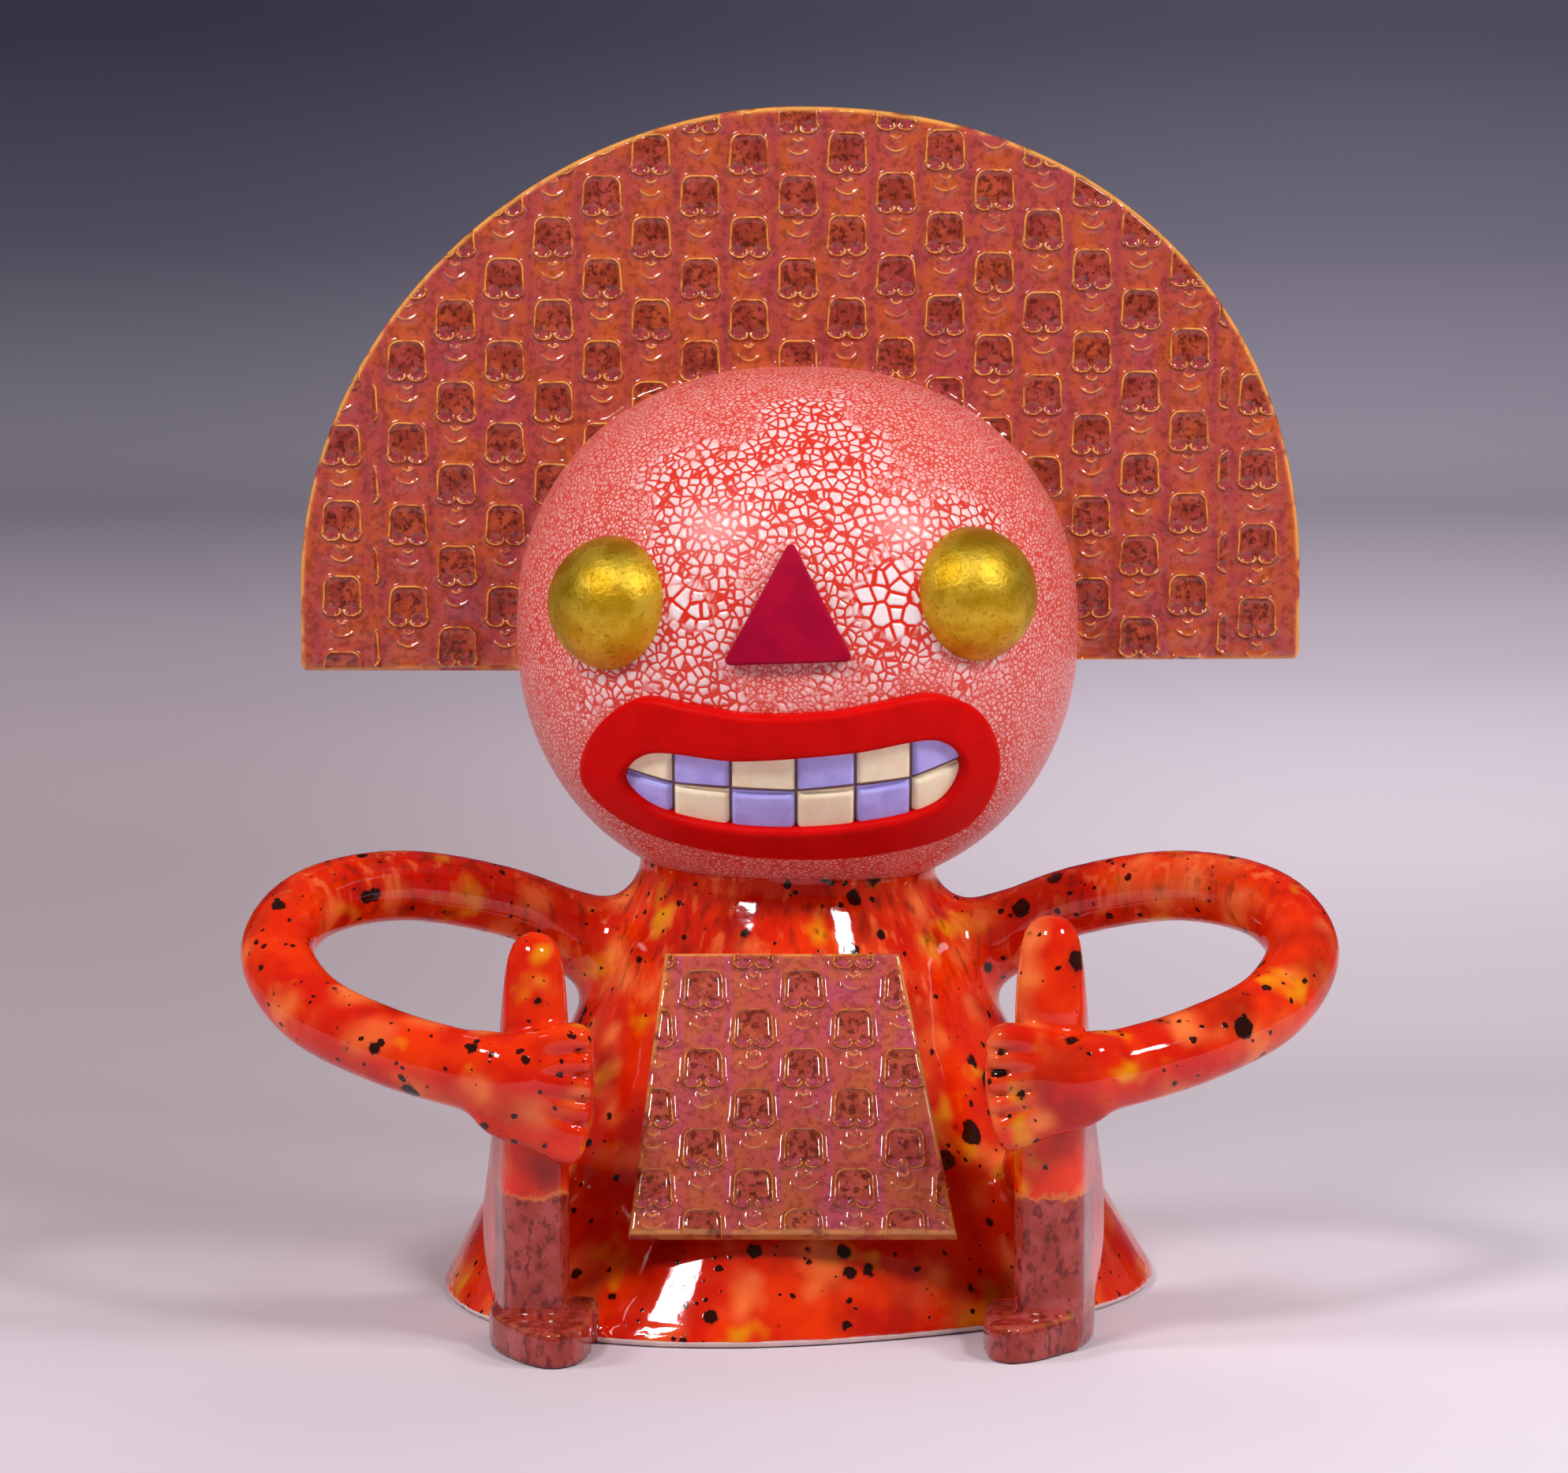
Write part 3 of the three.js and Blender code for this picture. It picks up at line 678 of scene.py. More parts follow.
@dataclass
class Bell:
    """The hollow bell-shaped body."""

    neck_height: float = 141
    neck_radius: float = 48.5
    rim_radius: float = 120.5
    waist: float = 2.5
    wall: float = 8
    ceiling: float = 124
    neck_shift: float = -1.4
    rim_shift: float = 2.5
    wave_height: float = 75
    waves: tuple[tuple[float, float, float], ...] = ((2, 7.7, 44), (3, 4.6, -15))

    def radius(self, z: Array) -> Array:
        """Finds the bell's radius: a straight cone less a waist that goes with the squared sine of the height."""
        down = 1 - z / self.neck_height
        cone = self.neck_radius + (self.rim_radius - self.neck_radius) * down
        return cone - self.waist * np.sin(np.pi * np.clip(down, 0, 1)) ** 2

    def unwarped(self, x: Array, y: Array, z: Array) -> tuple[Array, Array]:
        """Finds a place's radius, and the scale that the hand-pushed rim gives its direction."""
        shift = self.rim_shift + (self.neck_shift - self.rim_shift) * z / self.neck_height
        angle = np.arctan2(y, x - shift)
        fade = (1 - np.sin(angle)) / 2 * np.maximum(0, 1 - np.maximum(z, 0) / self.wave_height) ** 1.5
        bulge = sum(size * np.cos(count * (angle - np.radians(at))) for count, size, at in self.waves)
        return np.hypot(x - shift, y), 1 + fade * bulge / self.rim_radius

    def outside(self, x: Array, y: Array, z: Array) -> Array:
        """Measures the distance to the outer skin, with its wiped edge and undercut at the foot."""
        reach, scale = self.unwarped(x, y, z)
        skin = self.radius(np.maximum(z, 0)) + wobble(x, y, z, 62, 0.35) * smooth_step(z, 5, 25)
        foot = np.interp(z, (0, 1.2, 2.2, 4.0, 5.4, 7.5), (-2.4, -1.5, 0.1, -0.1, 0.25, 0)).astype(np.float32)
        flank = (reach - (skin + foot) * scale) * 0.89
        return soft_max(flank, z - self.neck_height - 4, 2)

    def inside(self, x: Array, y: Array, z: Array) -> Array:
        """Measures the distance to the hollow."""
        reach, scale = self.unwarped(x, y, z)
        knee = np.maximum(0, z - (self.ceiling - 10)) / 10
        skin = self.radius(z) - self.wall - 8 * knee**2
        return soft_max((reach - skin * scale) * 0.89, z - self.ceiling, 6)


@dataclass
class Arm:
    """An arm that loops out and down to the knee, with its fanned hand."""

    side: Side
    spread: float
    radius: float = 11.3
    wrist_radius: float = 12.6
    path: tuple[tuple[float, float, float], ...] = (
        (36, 4, 110), (64, -3, 117), (97, -14, 130.5), (132, -29, 137.6), (159, -49, 133.4),
        (167.8, -67, 122), (157, -88, 107.6), (131, -108, 97.6), (103, -122, 91.8), (90, -127, 90),
    )
    hand_front: float = 133.5
    hand_depth: float = 13
    hand_edge: float = 3.4
    hand_outline: tuple[tuple[float, float], ...] = (
        (100, 101.6), (89, 102.4), (79, 106.4), (67.5, 107.4), (63.4, 104.5), (62.6, 96),
        (62.4, 87), (64, 78), (66.5, 69.4), (70.5, 66.8), (82, 71.4), (99, 78.6),
    )
    cuts: tuple[tuple[float, float], ...] = ((100, 99), (92.6, 93.5), (84.6, 87.6), (77, 82))
    cut_from: float = 60
    cut_to: float = 79

    def hand_place(self, out: Array | float, z: Array | float) -> tuple[Array | float, Array | float]:
        """Turns a place of the hand's drawing into X and Z: what is below its top is spread downwards."""
        top = self.hand_outline[0][1]
        return self.side.value * out, np.where(z > top, z, top - (top - z) * self.spread)

    def join_to(self, lattice: Lattice) -> None:
        """Adds the arm as the distance to short pieces of its middle line, each less the radius there."""
        line = even_line(smooth_line(np.array(self.path) * (self.side.value, 1, 1), 16, False), 130, False)
        radii = np.linspace(self.radius, self.wrist_radius, len(line))
        for a, b, thick in zip(line[:-1], line[1:], radii):
            along = b - a

            def piece(x: Array, y: Array, z: Array) -> Array:
                """Measures the distance to one short piece."""
                t = ((x - a[0]) * along[0] + (y - a[1]) * along[1] + (z - a[2]) * along[2]) / (along @ along)
                t = np.clip(t, 0, 1)
                gaps = (x - a[0] - t * along[0], y - a[1] - t * along[1], z - a[2] - t * along[2])
                return np.sqrt(sum(gap * gap for gap in gaps)) - thick

            near = thick + 9
            lattice.join(piece, np.minimum(a, b) - near, np.maximum(a, b) + near, 1e-3)
        self._join_hand(lattice)

    def _join_hand(self, lattice: Lattice) -> None:
        """Adds the hand: its outline run through its depth with rounded edges, less the cuts between the fingers."""
        drawn = smooth_line(self.hand_outline, 5, True)
        outline = np.stack(self.hand_place(drawn[:, 0], drawn[:, 1]), 1)
        (left, low), (right, high) = outline.min(0) - 9, outline.max(0) + 9
        half, edge = self.hand_depth / 2, self.hand_edge

        def palm(x: Array, y: Array, z: Array) -> Array:
            """Measures the distance to the rounded slab."""
            across = outline_distance(outline, x, z) + edge
            through = np.abs(y + self.hand_front - half) - half + edge
            beyond = np.hypot(np.maximum(across, 0), np.maximum(through, 0))
            return beyond + np.minimum(np.maximum(across, through), 0) - edge

        span = (left, -self.hand_front - 6, low), (right, -self.hand_front + self.hand_depth + 6, high)
        lattice.join(palm, *span, 7)
        for tip, base in self.cuts:
            x0, z0 = self.hand_place(self.cut_from, tip)
            x1, z1 = self.hand_place(self.cut_to, base)

            def groove(x: Array, y: Array, z: Array) -> Array:
                """Measures the distance to a wedge that narrows and rises from the fingertips to its inner end."""
                t = np.clip(((x - x0) * (x1 - x0) + (z - z0) * (z1 - z0)) / ((x1 - x0) ** 2 + (z1 - z0) ** 2), 0, 1)
                off = np.hypot(x - x0 - t * (x1 - x0), z - z0 - t * (z1 - z0))
                return (off - 1.5 * (1 - t)) + np.maximum(0, y + self.hand_front - 2.2 * (1 - t) - 0.2)

            lattice.cut(groove, *span, 1.6)


@dataclass
class Leg:
    """A leg with a bullet-shaped knee, a fin that runs back to the bell, a thigh and a flat foot."""

    side: Side
    x: float
    width: float
    knee: float
    sole: tuple[tuple[float, float], ...]
    front: float = 124
    turn: float = 10.5
    sole_height: float = 12
    knee_front: tuple[tuple[float, float], ...] = ((1.2, 0.43), (4.6, 0.7), (10, 0.85), (20, 0.94), (33, 1))
    knee_side: tuple[tuple[float, float], ...] = (
        (1.6, 19), (4.5, 8), (8, 1.5), (11.5, 0), (15, 3.5), (18.5, 14), (25, 35), (37, 60), (52, 80), (63, 95),
    )
    knee_length: float = 33
    heel: tuple[tuple[float, float], ...] = ((66, 30), (60, 16), (42, 3), (42, -4))

    def shin(self, x: Array, y: Array, z: Array) -> Array:
        """Measures the leg: its front drawing and its side drawing cut each other, and the edge is rounded."""
        angle = np.radians(self.side.value * self.turn)
        dx, dy = x - self.side.value * self.x, y + self.front
        across, depth = dx * np.cos(angle) - dy * np.sin(angle), dx * np.sin(angle) + dy * np.cos(angle)
        half = self.width / 2
        right = [(share * half, self.knee - down) for down, share in self.knee_front]
        arch = smooth_line([(-a, b) for a, b in right[::-1]] + [(0, self.knee)] + right, 5, False)
        front = np.vstack([[(-half, -4)], arch, [(half, -4)]])
        back = smooth_line([(0, self.knee - self.knee_length)] + [(d, self.knee - down) for d, down in self.knee_side]
                           + list(self.heel[:3]), 4, False)
        side = np.vstack([[(0, -4)], back, [self.heel[3]]])
        return soft_max(outline_distance(front, across, z), outline_distance(side, depth, z), 11)

    def foot(self, x: Array, y: Array, z: Array) -> Array:
        """Measures the sole: its outline run up to its height, with its top edge rounded."""
        outline = smooth_line(np.array(self.sole) * (self.side.value, 1), 5, True)
        return soft_max(outline_distance(outline, x, y), z - self.sole_height, 2.2)

    def sole_edge(self, x: Array, y: Array, z: Array) -> Array:
        """Measures how far places are from the sole's top edge."""
        outline = smooth_line(np.array(self.sole) * (self.side.value, 1), 5, True)
        return np.hypot(outline_distance(outline, x, y), z - self.sole_height)

    def join_to(self, lattice: Lattice) -> None:
        """Adds shin, foot and thigh."""
        low, high = sorted((self.side.value * 46, self.side.value * 112))
        lattice.join(self.shin, (low, -134, -9), (high, -45, 150), 3.5)
        lattice.join(self.foot, (low, -160, -9), (high, -85, 22), 1.6)
        spindle(lattice, self.side, 11, 30, (85, -102, 66), (77, -60, 42), 6)


def spindle(lattice: Lattice, side: Side, radius: float, half_length: float, start: Sequence[float],
            end: Sequence[float], blend: float) -> None:
    """Joins a drawn-out ball: the place is shrunk to a ball of radius 1, and what it is outside that is scaled back.

    Args:
        lattice: what it is joined to.
        side: the figure's side, for places given on the left.
        radius: its greatest radius.
        half_length: from its middle to a tip.
        start: a place on its axis.
        end: another, as far from its middle.
        blend: size of the fillet.
    """
    a, b = (np.array(p, float) * (side.value, 1, 1) for p in (start, end))
    middle, along = (a + b) / 2, (b - a) / np.linalg.norm(b - a)

    def ball(x: Array, y: Array, z: Array) -> Array:
        """Measures the distance, roughly."""
        gaps = (x - middle[0], y - middle[1], z - middle[2])
        run = sum(gap * part for gap, part in zip(gaps, along))
        off = np.maximum(sum(gap * gap for gap in gaps) - run * run, 0)
        near = np.sqrt(off / radius**2 + (run / half_length) ** 2)
        steep = np.sqrt(off / radius**4 + run * run / half_length**4)
        return near * (near - 1) / np.maximum(steep, 1e-6)

    far = half_length + 8
    lattice.join(ball, middle - far, middle + far, blend)


@dataclass
class Body:
    """The bell with both arms and legs, as one skin."""

    head: Head
    bell: Bell = field(default_factory=Bell)
    arms: tuple[Arm, ...] = (Arm(Side.RIGHT, 1.13), Arm(Side.LEFT, 1.0))
    legs: tuple[Leg, ...] = (
        Leg(Side.RIGHT, 79.9, 21.6, 138.2, (
            (95.5, -98), (96, -116), (90, -132), (82, -144.5), (75.5, -148.7),
            (68.5, -143.5), (64.6, -131), (63.6, -116), (65.5, -98))),
        Leg(Side.LEFT, 81.7, 23, 143.8, (
            (97.4, -92), (97.6, -105), (91, -121.5), (83, -132.5), (76, -139),
            (70, -141), (65, -136.5), (62.6, -126), (63, -108), (66.5, -92))),
    )

    @staticmethod
    def lines() -> tuple[Array, Array, Array]:
        """Spaces the lattice's lines: closest across hands, knees and rim, widest at the back."""
        def run(*marks: tuple[float, float]) -> Array:
            """Steps through marks, each a place and the spacing from there on."""
            parts = [np.arange(a, b - step / 2, step) for (a, step), (b, _) in zip(marks, marks[1:])]
            return np.concatenate([*parts, [marks[-1][0]]])

        x = run((-185, 2.3), (-106, 1.45), (-58, 2.4), (58, 1.45), (106, 2.3), (185, 2.3))
        y = run((-154, 2.3), (-138, 1.25), (-118, 2.1), (-60, 2.7), (20, 3.7), (130, 3.5))
        z = run((-4, 1.25), (14, 2.5), (62, 1.4), (110, 2.1), (156, 2.3))
        return x, y, z

    def build(self, material: bpy.types.Material) -> None:
        """Joins all shapes on one lattice, cuts the hollow and the head's seat, and draws the surface."""
        solid, limbs = Lattice(*self.lines()), Lattice(*self.lines())
        everywhere = (-400, -400, -400), (400, 400, 400)
        solid.join(self.bell.outside, *everywhere, 1e-3)
        for leg in self.legs:
            leg.join_to(solid)
        for arm in self.arms:
            arm.join_to(limbs)
            spindle(limbs, arm.side, 13.4, 24, (48, 0, 108.5), (78, -8, 117.5), 8)
        x, y, z = solid.places((slice(None),) * 3)
        solid.values = soft_min(solid.values, limbs.values, 1.2 + 10 * smooth_step(y, -90, -40))
        solid.join(lambda x, y, z: self.head.distance(x, y, z) + 1.5, (-90, -90, 120), (90, 90, 160), 7)
        solid.cut(lambda x, y, z: self.head.distance(x, y, z) + 2.2, *everywhere, 0.5)
        solid.cut(self.bell.inside, *everywhere, 1.5)
        solid.values = np.maximum(solid.values, -z)
        points, faces = solid.surface()
        piece = make_piece("figure_body", points, faces)
        x, y, z = points.T
        paint(piece, "hollow", self.bell.inside(x, y, z))
        paint(piece, "sole_edge", np.min([leg.sole_edge(x, y, z) for leg in self.legs], 0))
        paint(piece, "leg", np.min([np.minimum(leg.shin(x, y, z), leg.foot(x, y, z)) for leg in self.legs], 0))
        dress(piece, material, Finish.ORANGE, "body")


# Stamped slabs


@dataclass(frozen=True)
class Stamps:
    """Rows of skull stamps: columns a pitch apart, every other one half a step lower."""

    x: float
    top: float
    pitch: float = 16.35
    step: float = 27.5
    rise: float = 0
    edges: tuple[tuple[float, float, float, float], ...] = ()

    def cell(self, x: Value, z: Value) -> tuple[Value, Value]:
        """Finds where a place lies in its stamp: across from its middle and down from its top.

        Args:
            x: across the slab.
            z: up the slab.

        Returns:
            The two distances, the second from 4 above the top to the rest of a step below it.
        """
        column = nearest_whole((x - self.x) * (1 / self.pitch))
        across = x - self.x - column * self.pitch
        odd = column % 2.0
        top = odd * (self.step / 2) + most(column, 0.0) * self.rise + self.top
        down = (top - z + 4) % self.step - 4
        for middle, first, step, seam in self.edges:
            beyond = ease(x - seam, -0.1, 0.1) if seam > 0 else ease(seam - x, -0.1, 0.1)
            across = across * (1 - beyond) + (x - middle) * beyond
            down = down * (1 - beyond) + ((first - z + 4) % step - 4) * beyond
        return across, down

    @staticmethod
    def cranium(u: Value, v: Value) -> Value:
        """Measures the distance to the cranium: a box with round corners that widens a little downwards, joined
        with the two sockets at its lower corners."""
        wide = abs(u) - v * 0.05
        across, through = wide - 2.75, abs(v - 6.6) - 3.0
        outer_x, outer_y = most(across, 0.0), most(through, 0.0)
        box = root(outer_x * outer_x + outer_y * outer_y) + least(most(across, through), 0.0) - 3.4
        return least(box, Stamps.socket(u, v) - 0.6)

    @staticmethod
    def socket(u: Value, v: Value) -> Value:
        """Measures roughly the distance to the nearer eye socket: a flat oval that rises outwards."""
        across, through = (abs(u) - 3.5) * (1 / 2.9), (v - 12.0 + (abs(u) - 3.5) * 0.08) * (1 / 1.85)
        return (root(across * across + through * through) - 1) * 2.1

    @staticmethod
    def ridges(u: Value, v: Value, width: float) -> Value:
        """Draws the raised lines: round the cranium and the sockets' lower lids, under the nose, and the smile's
        arc, which sags with the square of its distance from the middle."""
        box = hill(Stamps.cranium(u, v) + 0.3, width) * (1 - ease(v, 10.6, 12.2))
        lids = hill(Stamps.socket(u, v) + 0.1, width * 0.9) * ease(v, 11.0, 12.6) * 1.05
        nose = hill(v - 16.6 + abs(u) * 0.5, width * 1.2) * (1 - ease(abs(u), 1.3, 2.2)) * 0.95
        smile = hill(v - 20.8 + u * u * 0.13, width * 1.1) * (1 - ease(abs(u), 3.2, 4.2)) * 0.85
        return most(most(box, lids), most(nose, smile))

    @staticmethod
    def relief(u: Value, v: Value) -> Value:
        """Gives the stamp's height in millimetres: a low plateau in the cranium, sunk sockets with a bead in each,
        lips of clay round both, a swelling for the jaw."""
        inside = ease(-Stamps.cranium(u, v), -0.5, 0.6)
        socket = Stamps.socket(u, v)
        sunk = ease(-socket, -0.1, 0.7) - ease(-socket, 0.6, 1.8) * 0.8
        jaw = hill(u, 4.2) * hill(v - 18.0, 3.6)
        return inside * 0.7 - sunk * 0.5 + Stamps.ridges(u, v, 0.7) * 0.75 + jaw * 0.35

    def height(self, x: Value, z: Value) -> Value:
        """Gives the relief of the whole pattern at a place."""
        return self.relief(*self.cell(x, z))


FAN_STAMPS = Stamps(2.8, 372.4, rise=0.5, edges=((-150.2, 289.2, 25.4, -139.6), (156.8, 306.2, 25.0, 146.6)))
APRON_STAMPS = Stamps(3.6, -6)


def edge_round(inwards: Array, radius: float) -> Array:
    """Gives how far a rounded edge falls away: the radius less the root of its square less the square of what is
    left of it."""
    left = np.clip(radius - inwards, 0, radius)
    return radius - np.sqrt(radius**2 - left**2)


@dataclass
class Fan:
    """The headdress: an upright slab in a half-round outline, stamped on its front."""

    head: Head
    peak: float = 2.6
    z: float = 234.7
    height: float = 160.1
    right: tuple[float, float, float] = (166.9, 1.93, 205.8)  # width, squareness, bottom
    left: tuple[float, float, float] = (168.8, 2.18, 209.8)
    corner: float = 2.4
    thickness: float = 6.6
    front: float = 2.6

    def outline(self) -> Array:
        """Draws the outline from the lower right corner over the top to the lower left one: half an oval whose
        quarters have their own powers, with upright sides below it."""
        angles = np.linspace(0, np.pi, 400)
        across, up = np.cos(angles), np.sin(angles)
        width = np.where(across > 0, self.left[0], self.right[0])
        power = np.where(across > 0, self.left[1], self.right[1])
        reach = (np.abs(across) ** power + up**power) ** (-1 / power)
        oval = np.stack([self.peak + width * reach * across, self.z + self.height * reach * up], 1)[::-1]
        first, last = oval[0, 0], oval[-1, 0]
        turn = np.linspace(0, np.pi / 2, 6)[:, None]
        lower_right = (first + self.corner, self.right[2] + self.corner) + self.corner * np.hstack(
            [-np.sin(turn), -np.cos(turn)])
        lower_left = (last - self.corner, self.left[2] + self.corner) + self.corner * np.hstack(
            [np.cos(turn), -np.sin(turn)])
        return np.vstack([lower_right, oval, lower_left])

    def build(self, material: bpy.types.Material) -> None:
        """Makes the slab: straight lines from a curve inside the head to the outline, each a closed loop over the
        front, round the edge and back behind."""
        steps = 780
        outer = even_line(self.outline(), steps, False)
        start = np.arcsin((self.right[2] - self.head.z) / self.head.below) + 0
        angles = np.linspace(np.pi - start, np.arcsin((self.left[2] - self.head.z) / self.head.below), steps)
        inner = self.head.section(angles, 0.955)
        inner[0, 1], inner[-1, 1] = self.right[2], self.left[2]
        front_share = np.concatenate([np.linspace(0, 0.965, 104), np.linspace(0.972, 1, 9)])
        back_share = np.array([1, 0.99, 0.97, 0.9, 0.7, 0.5, 0.3, 0.1, 0])
        shares = np.concatenate([front_share, back_share])[None, :, None]
        flat = inner[:, None, :] * (1 - shares) + outer[:, None, :] * shares
        x, z = flat[..., 0], flat[..., 1]
        inwards = np.maximum(-outline_distance(self.outline(), x, z), 0)
        count = len(front_share)
        relief = FAN_STAMPS.height(x, z) * smooth_step(inwards, 0.2, 1.6)
        beyond = self.head.distance(x, self.front, z)
        joint = edge_round(beyond, 3.6) * (0.6 + wobble(x, x * 0, z, 17, 0.35))
        y = self.front - relief - joint + edge_round(inwards, 2.2) + wobble(x, x * 0, z, 70, 0.25)
        y[:, count:] = (self.front + self.thickness - edge_round(inwards, 2.2) + edge_round(beyond, 6.5)
                        + wobble(x, x * 0 + 40, z, 70, 0.25))[:, count:]
        points = np.stack([x, y, z], -1)
        rows, columns = x.shape
        ends = (range(columns), range(rows * columns - 1, (rows - 1) * columns - 1, -1))
        faces = grid_faces(rows, columns, wrap_columns=True)
        piece = make_piece("fan_slab", points.reshape(-1, 3), faces, ends, sharp_above=1.2)
        paint(piece, "rim", inwards)
        paint(piece, "joint", beyond)
        dress(piece, material, Finish.RUST, "headdress")


@dataclass
class Apron:
    """The stamped apron, a leaning slab that widens downwards."""

    top_width: float = 77
    bottom_width: float = 106
    length: float = 97
    thickness: float = 7.5
    x: float = 0.9
    top_shift: float = -3.4
    top_height: float = 120.6
    top_front: float = 63
    lean: float = 30

    def build(self, material: bpy.types.Material) -> None:
        """Makes the slab flat, as loops across the front and back behind, and leans it against the bell."""
        rows, columns = 165, 172
        down = np.linspace(0, 1, rows)[:, None]
        low = np.array([self.top_shift - self.top_width / 2, -self.bottom_width / 2])
        high = np.array([self.top_shift + self.top_width / 2, self.bottom_width / 2])
        left = low[0] + (low[1] - low[0]) * down
        right = high[0] + (high[1] - high[0]) * down
        share = np.concatenate([np.linspace(0, 1, columns), np.linspace(1, 0, 12)])[None, :]
        x = left + (right - left) * share
        z = -self.length * down + 0 * share
        outline = np.array([(low[0], 0), (high[0], 0), (high[1], -self.length), (low[1], -self.length)])
        inwards = np.maximum(-outline_distance(outline, x, z), 0)
        relief = APRON_STAMPS.height(x, z) * smooth_step(inwards, 0.2, 1.8)
        y = edge_round(inwards, 1.3) - relief + wobble(x, x * 0, z, 55, 0.2)
        y[:, columns:] = self.thickness - edge_round(inwards, 1.3)[:, columns:]
        turn = np.radians(self.lean)
        points = np.stack([x + self.x, y * np.cos(turn) + z * np.sin(turn) - self.top_front,
                           z * np.cos(turn) - y * np.sin(turn) + self.top_height], -1)
        count = columns + 12
        ends = (range(count), range(rows * count - 1, (rows - 1) * count - 1, -1))
        faces = grid_faces(rows, count, wrap_columns=True)[:, ::-1]
        ends = tuple(list(end)[::-1] for end in ends)
        piece = make_piece("apron_slab", points.reshape(-1, 3), faces, ends, sharp_above=1.0)
        paint(piece, "rim", inwards)
        paint(piece, "across", x)
        paint(piece, "up", z)
        dress(piece, material, Finish.MAUVE, "apron")


# Face


@dataclass
class Eye:
    """A gilded ball set into the head."""

    head: Head
    name: str
    x: float
    z: float
    radius: float = 22.2
    sunk: float = 7.2

    def middle(self) -> tuple[float, float, float]:
        """Finds the ball's middle, behind the face's surface."""
        return self.x, float(self.head.front(self.x, self.z)) + self.sunk, self.z

    def build(self, material: bpy.types.Material) -> None:
        """Makes the ball, turned about the direction it looks in, and as uneven as gilded clay is."""
        rows, columns = 90, 140
        turn = np.linspace(0, 2 * np.pi, columns, endpoint=False)[None, :]
        tilt = np.linspace(0.01, np.pi - 0.01, rows)[:, None]
        way = np.stack(np.broadcast_arrays(np.sin(tilt) * np.cos(turn), -np.cos(tilt), np.sin(tilt) * np.sin(turn)), -1)
        radius = self.radius + wobble(*np.moveaxis(way * 20, -1, 0), 24, 0.1)
        points = way * radius[..., None] + self.middle()
        faces = grid_faces(rows, columns, wrap_columns=True)[:, ::-1]
        caps = (range(columns), range(rows * columns - 1, (rows - 1) * columns - 1, -1))
        dress(make_piece(self.name + "_ball", points.reshape(-1, 3), faces, caps), material, Finish.GOLD, self.name)


@dataclass
class Nose:
    """A triangle of clay laid on the face."""

    head: Head
    height: float = 4
    corners: tuple[tuple[float, float], ...] = ((0.4, 258.2), (-21.6, 218.6), (20.4, 220))
    corner: float = 1.6

    def outline(self) -> Array:
        """Rounds the triangle's corners: points on small circles that touch both sides."""
        points = np.array(self.corners)
        middle = points.mean(0)
        drawn = []
        for i, point in enumerate(points):
            ways = [(points[(i + k) % 3] - point) / np.linalg.norm(points[(i + k) % 3] - point) for k in (-1, 1)]
            half = np.arccos(np.clip(ways[0] @ ways[1], -1, 1)) / 2
            centre = point + (ways[0] + ways[1]) / np.linalg.norm(ways[0] + ways[1]) * self.corner / np.sin(half)
            feet = [point + way * self.corner / np.tan(half) - centre for way in ways]
            for t in np.linspace(0, 1, 7):
                arm = feet[0] * (1 - t) + feet[1] * t
                drawn.append(centre + arm / np.linalg.norm(arm) * self.corner)
        line = np.array(drawn)
        order = np.cross(line[0] - middle, line[6] - middle)
        return even_line(line if order > 0 else line[::-1], 180, True)

    def build(self, material: bpy.types.Material) -> None:
        """Makes the slab: rings drawn in towards the middle, raised by a height that rounds over at the edge."""
        edge = self.outline()
        middle = edge.mean(0)
        shares = np.concatenate([[1.0, 1.0], np.linspace(1, 0.9, 10)[1:], np.linspace(0.88, 0.02, 16)])[:, None, None]
        flat = middle + (edge - middle)[None] * shares
        inwards = np.maximum(-outline_distance(edge, flat[..., 0], flat[..., 1]), 0)
        height = self.height - edge_round(inwards, 1.2)
        height[0], height[1] = -2.5, self.height - 1.2
        points = self.head.on_face(flat[..., 0], flat[..., 1], height)
        rows, columns = height.shape
        faces = grid_faces(rows, columns, wrap_columns=True)
        caps = (range(columns - 1, -1, -1), range((rows - 1) * columns, rows * columns))
        piece = make_piece("nose_slab", points.reshape(-1, 3), faces, caps, sharp_above=1.0)
        dress(piece, material, Finish.CRIMSON, "nose")


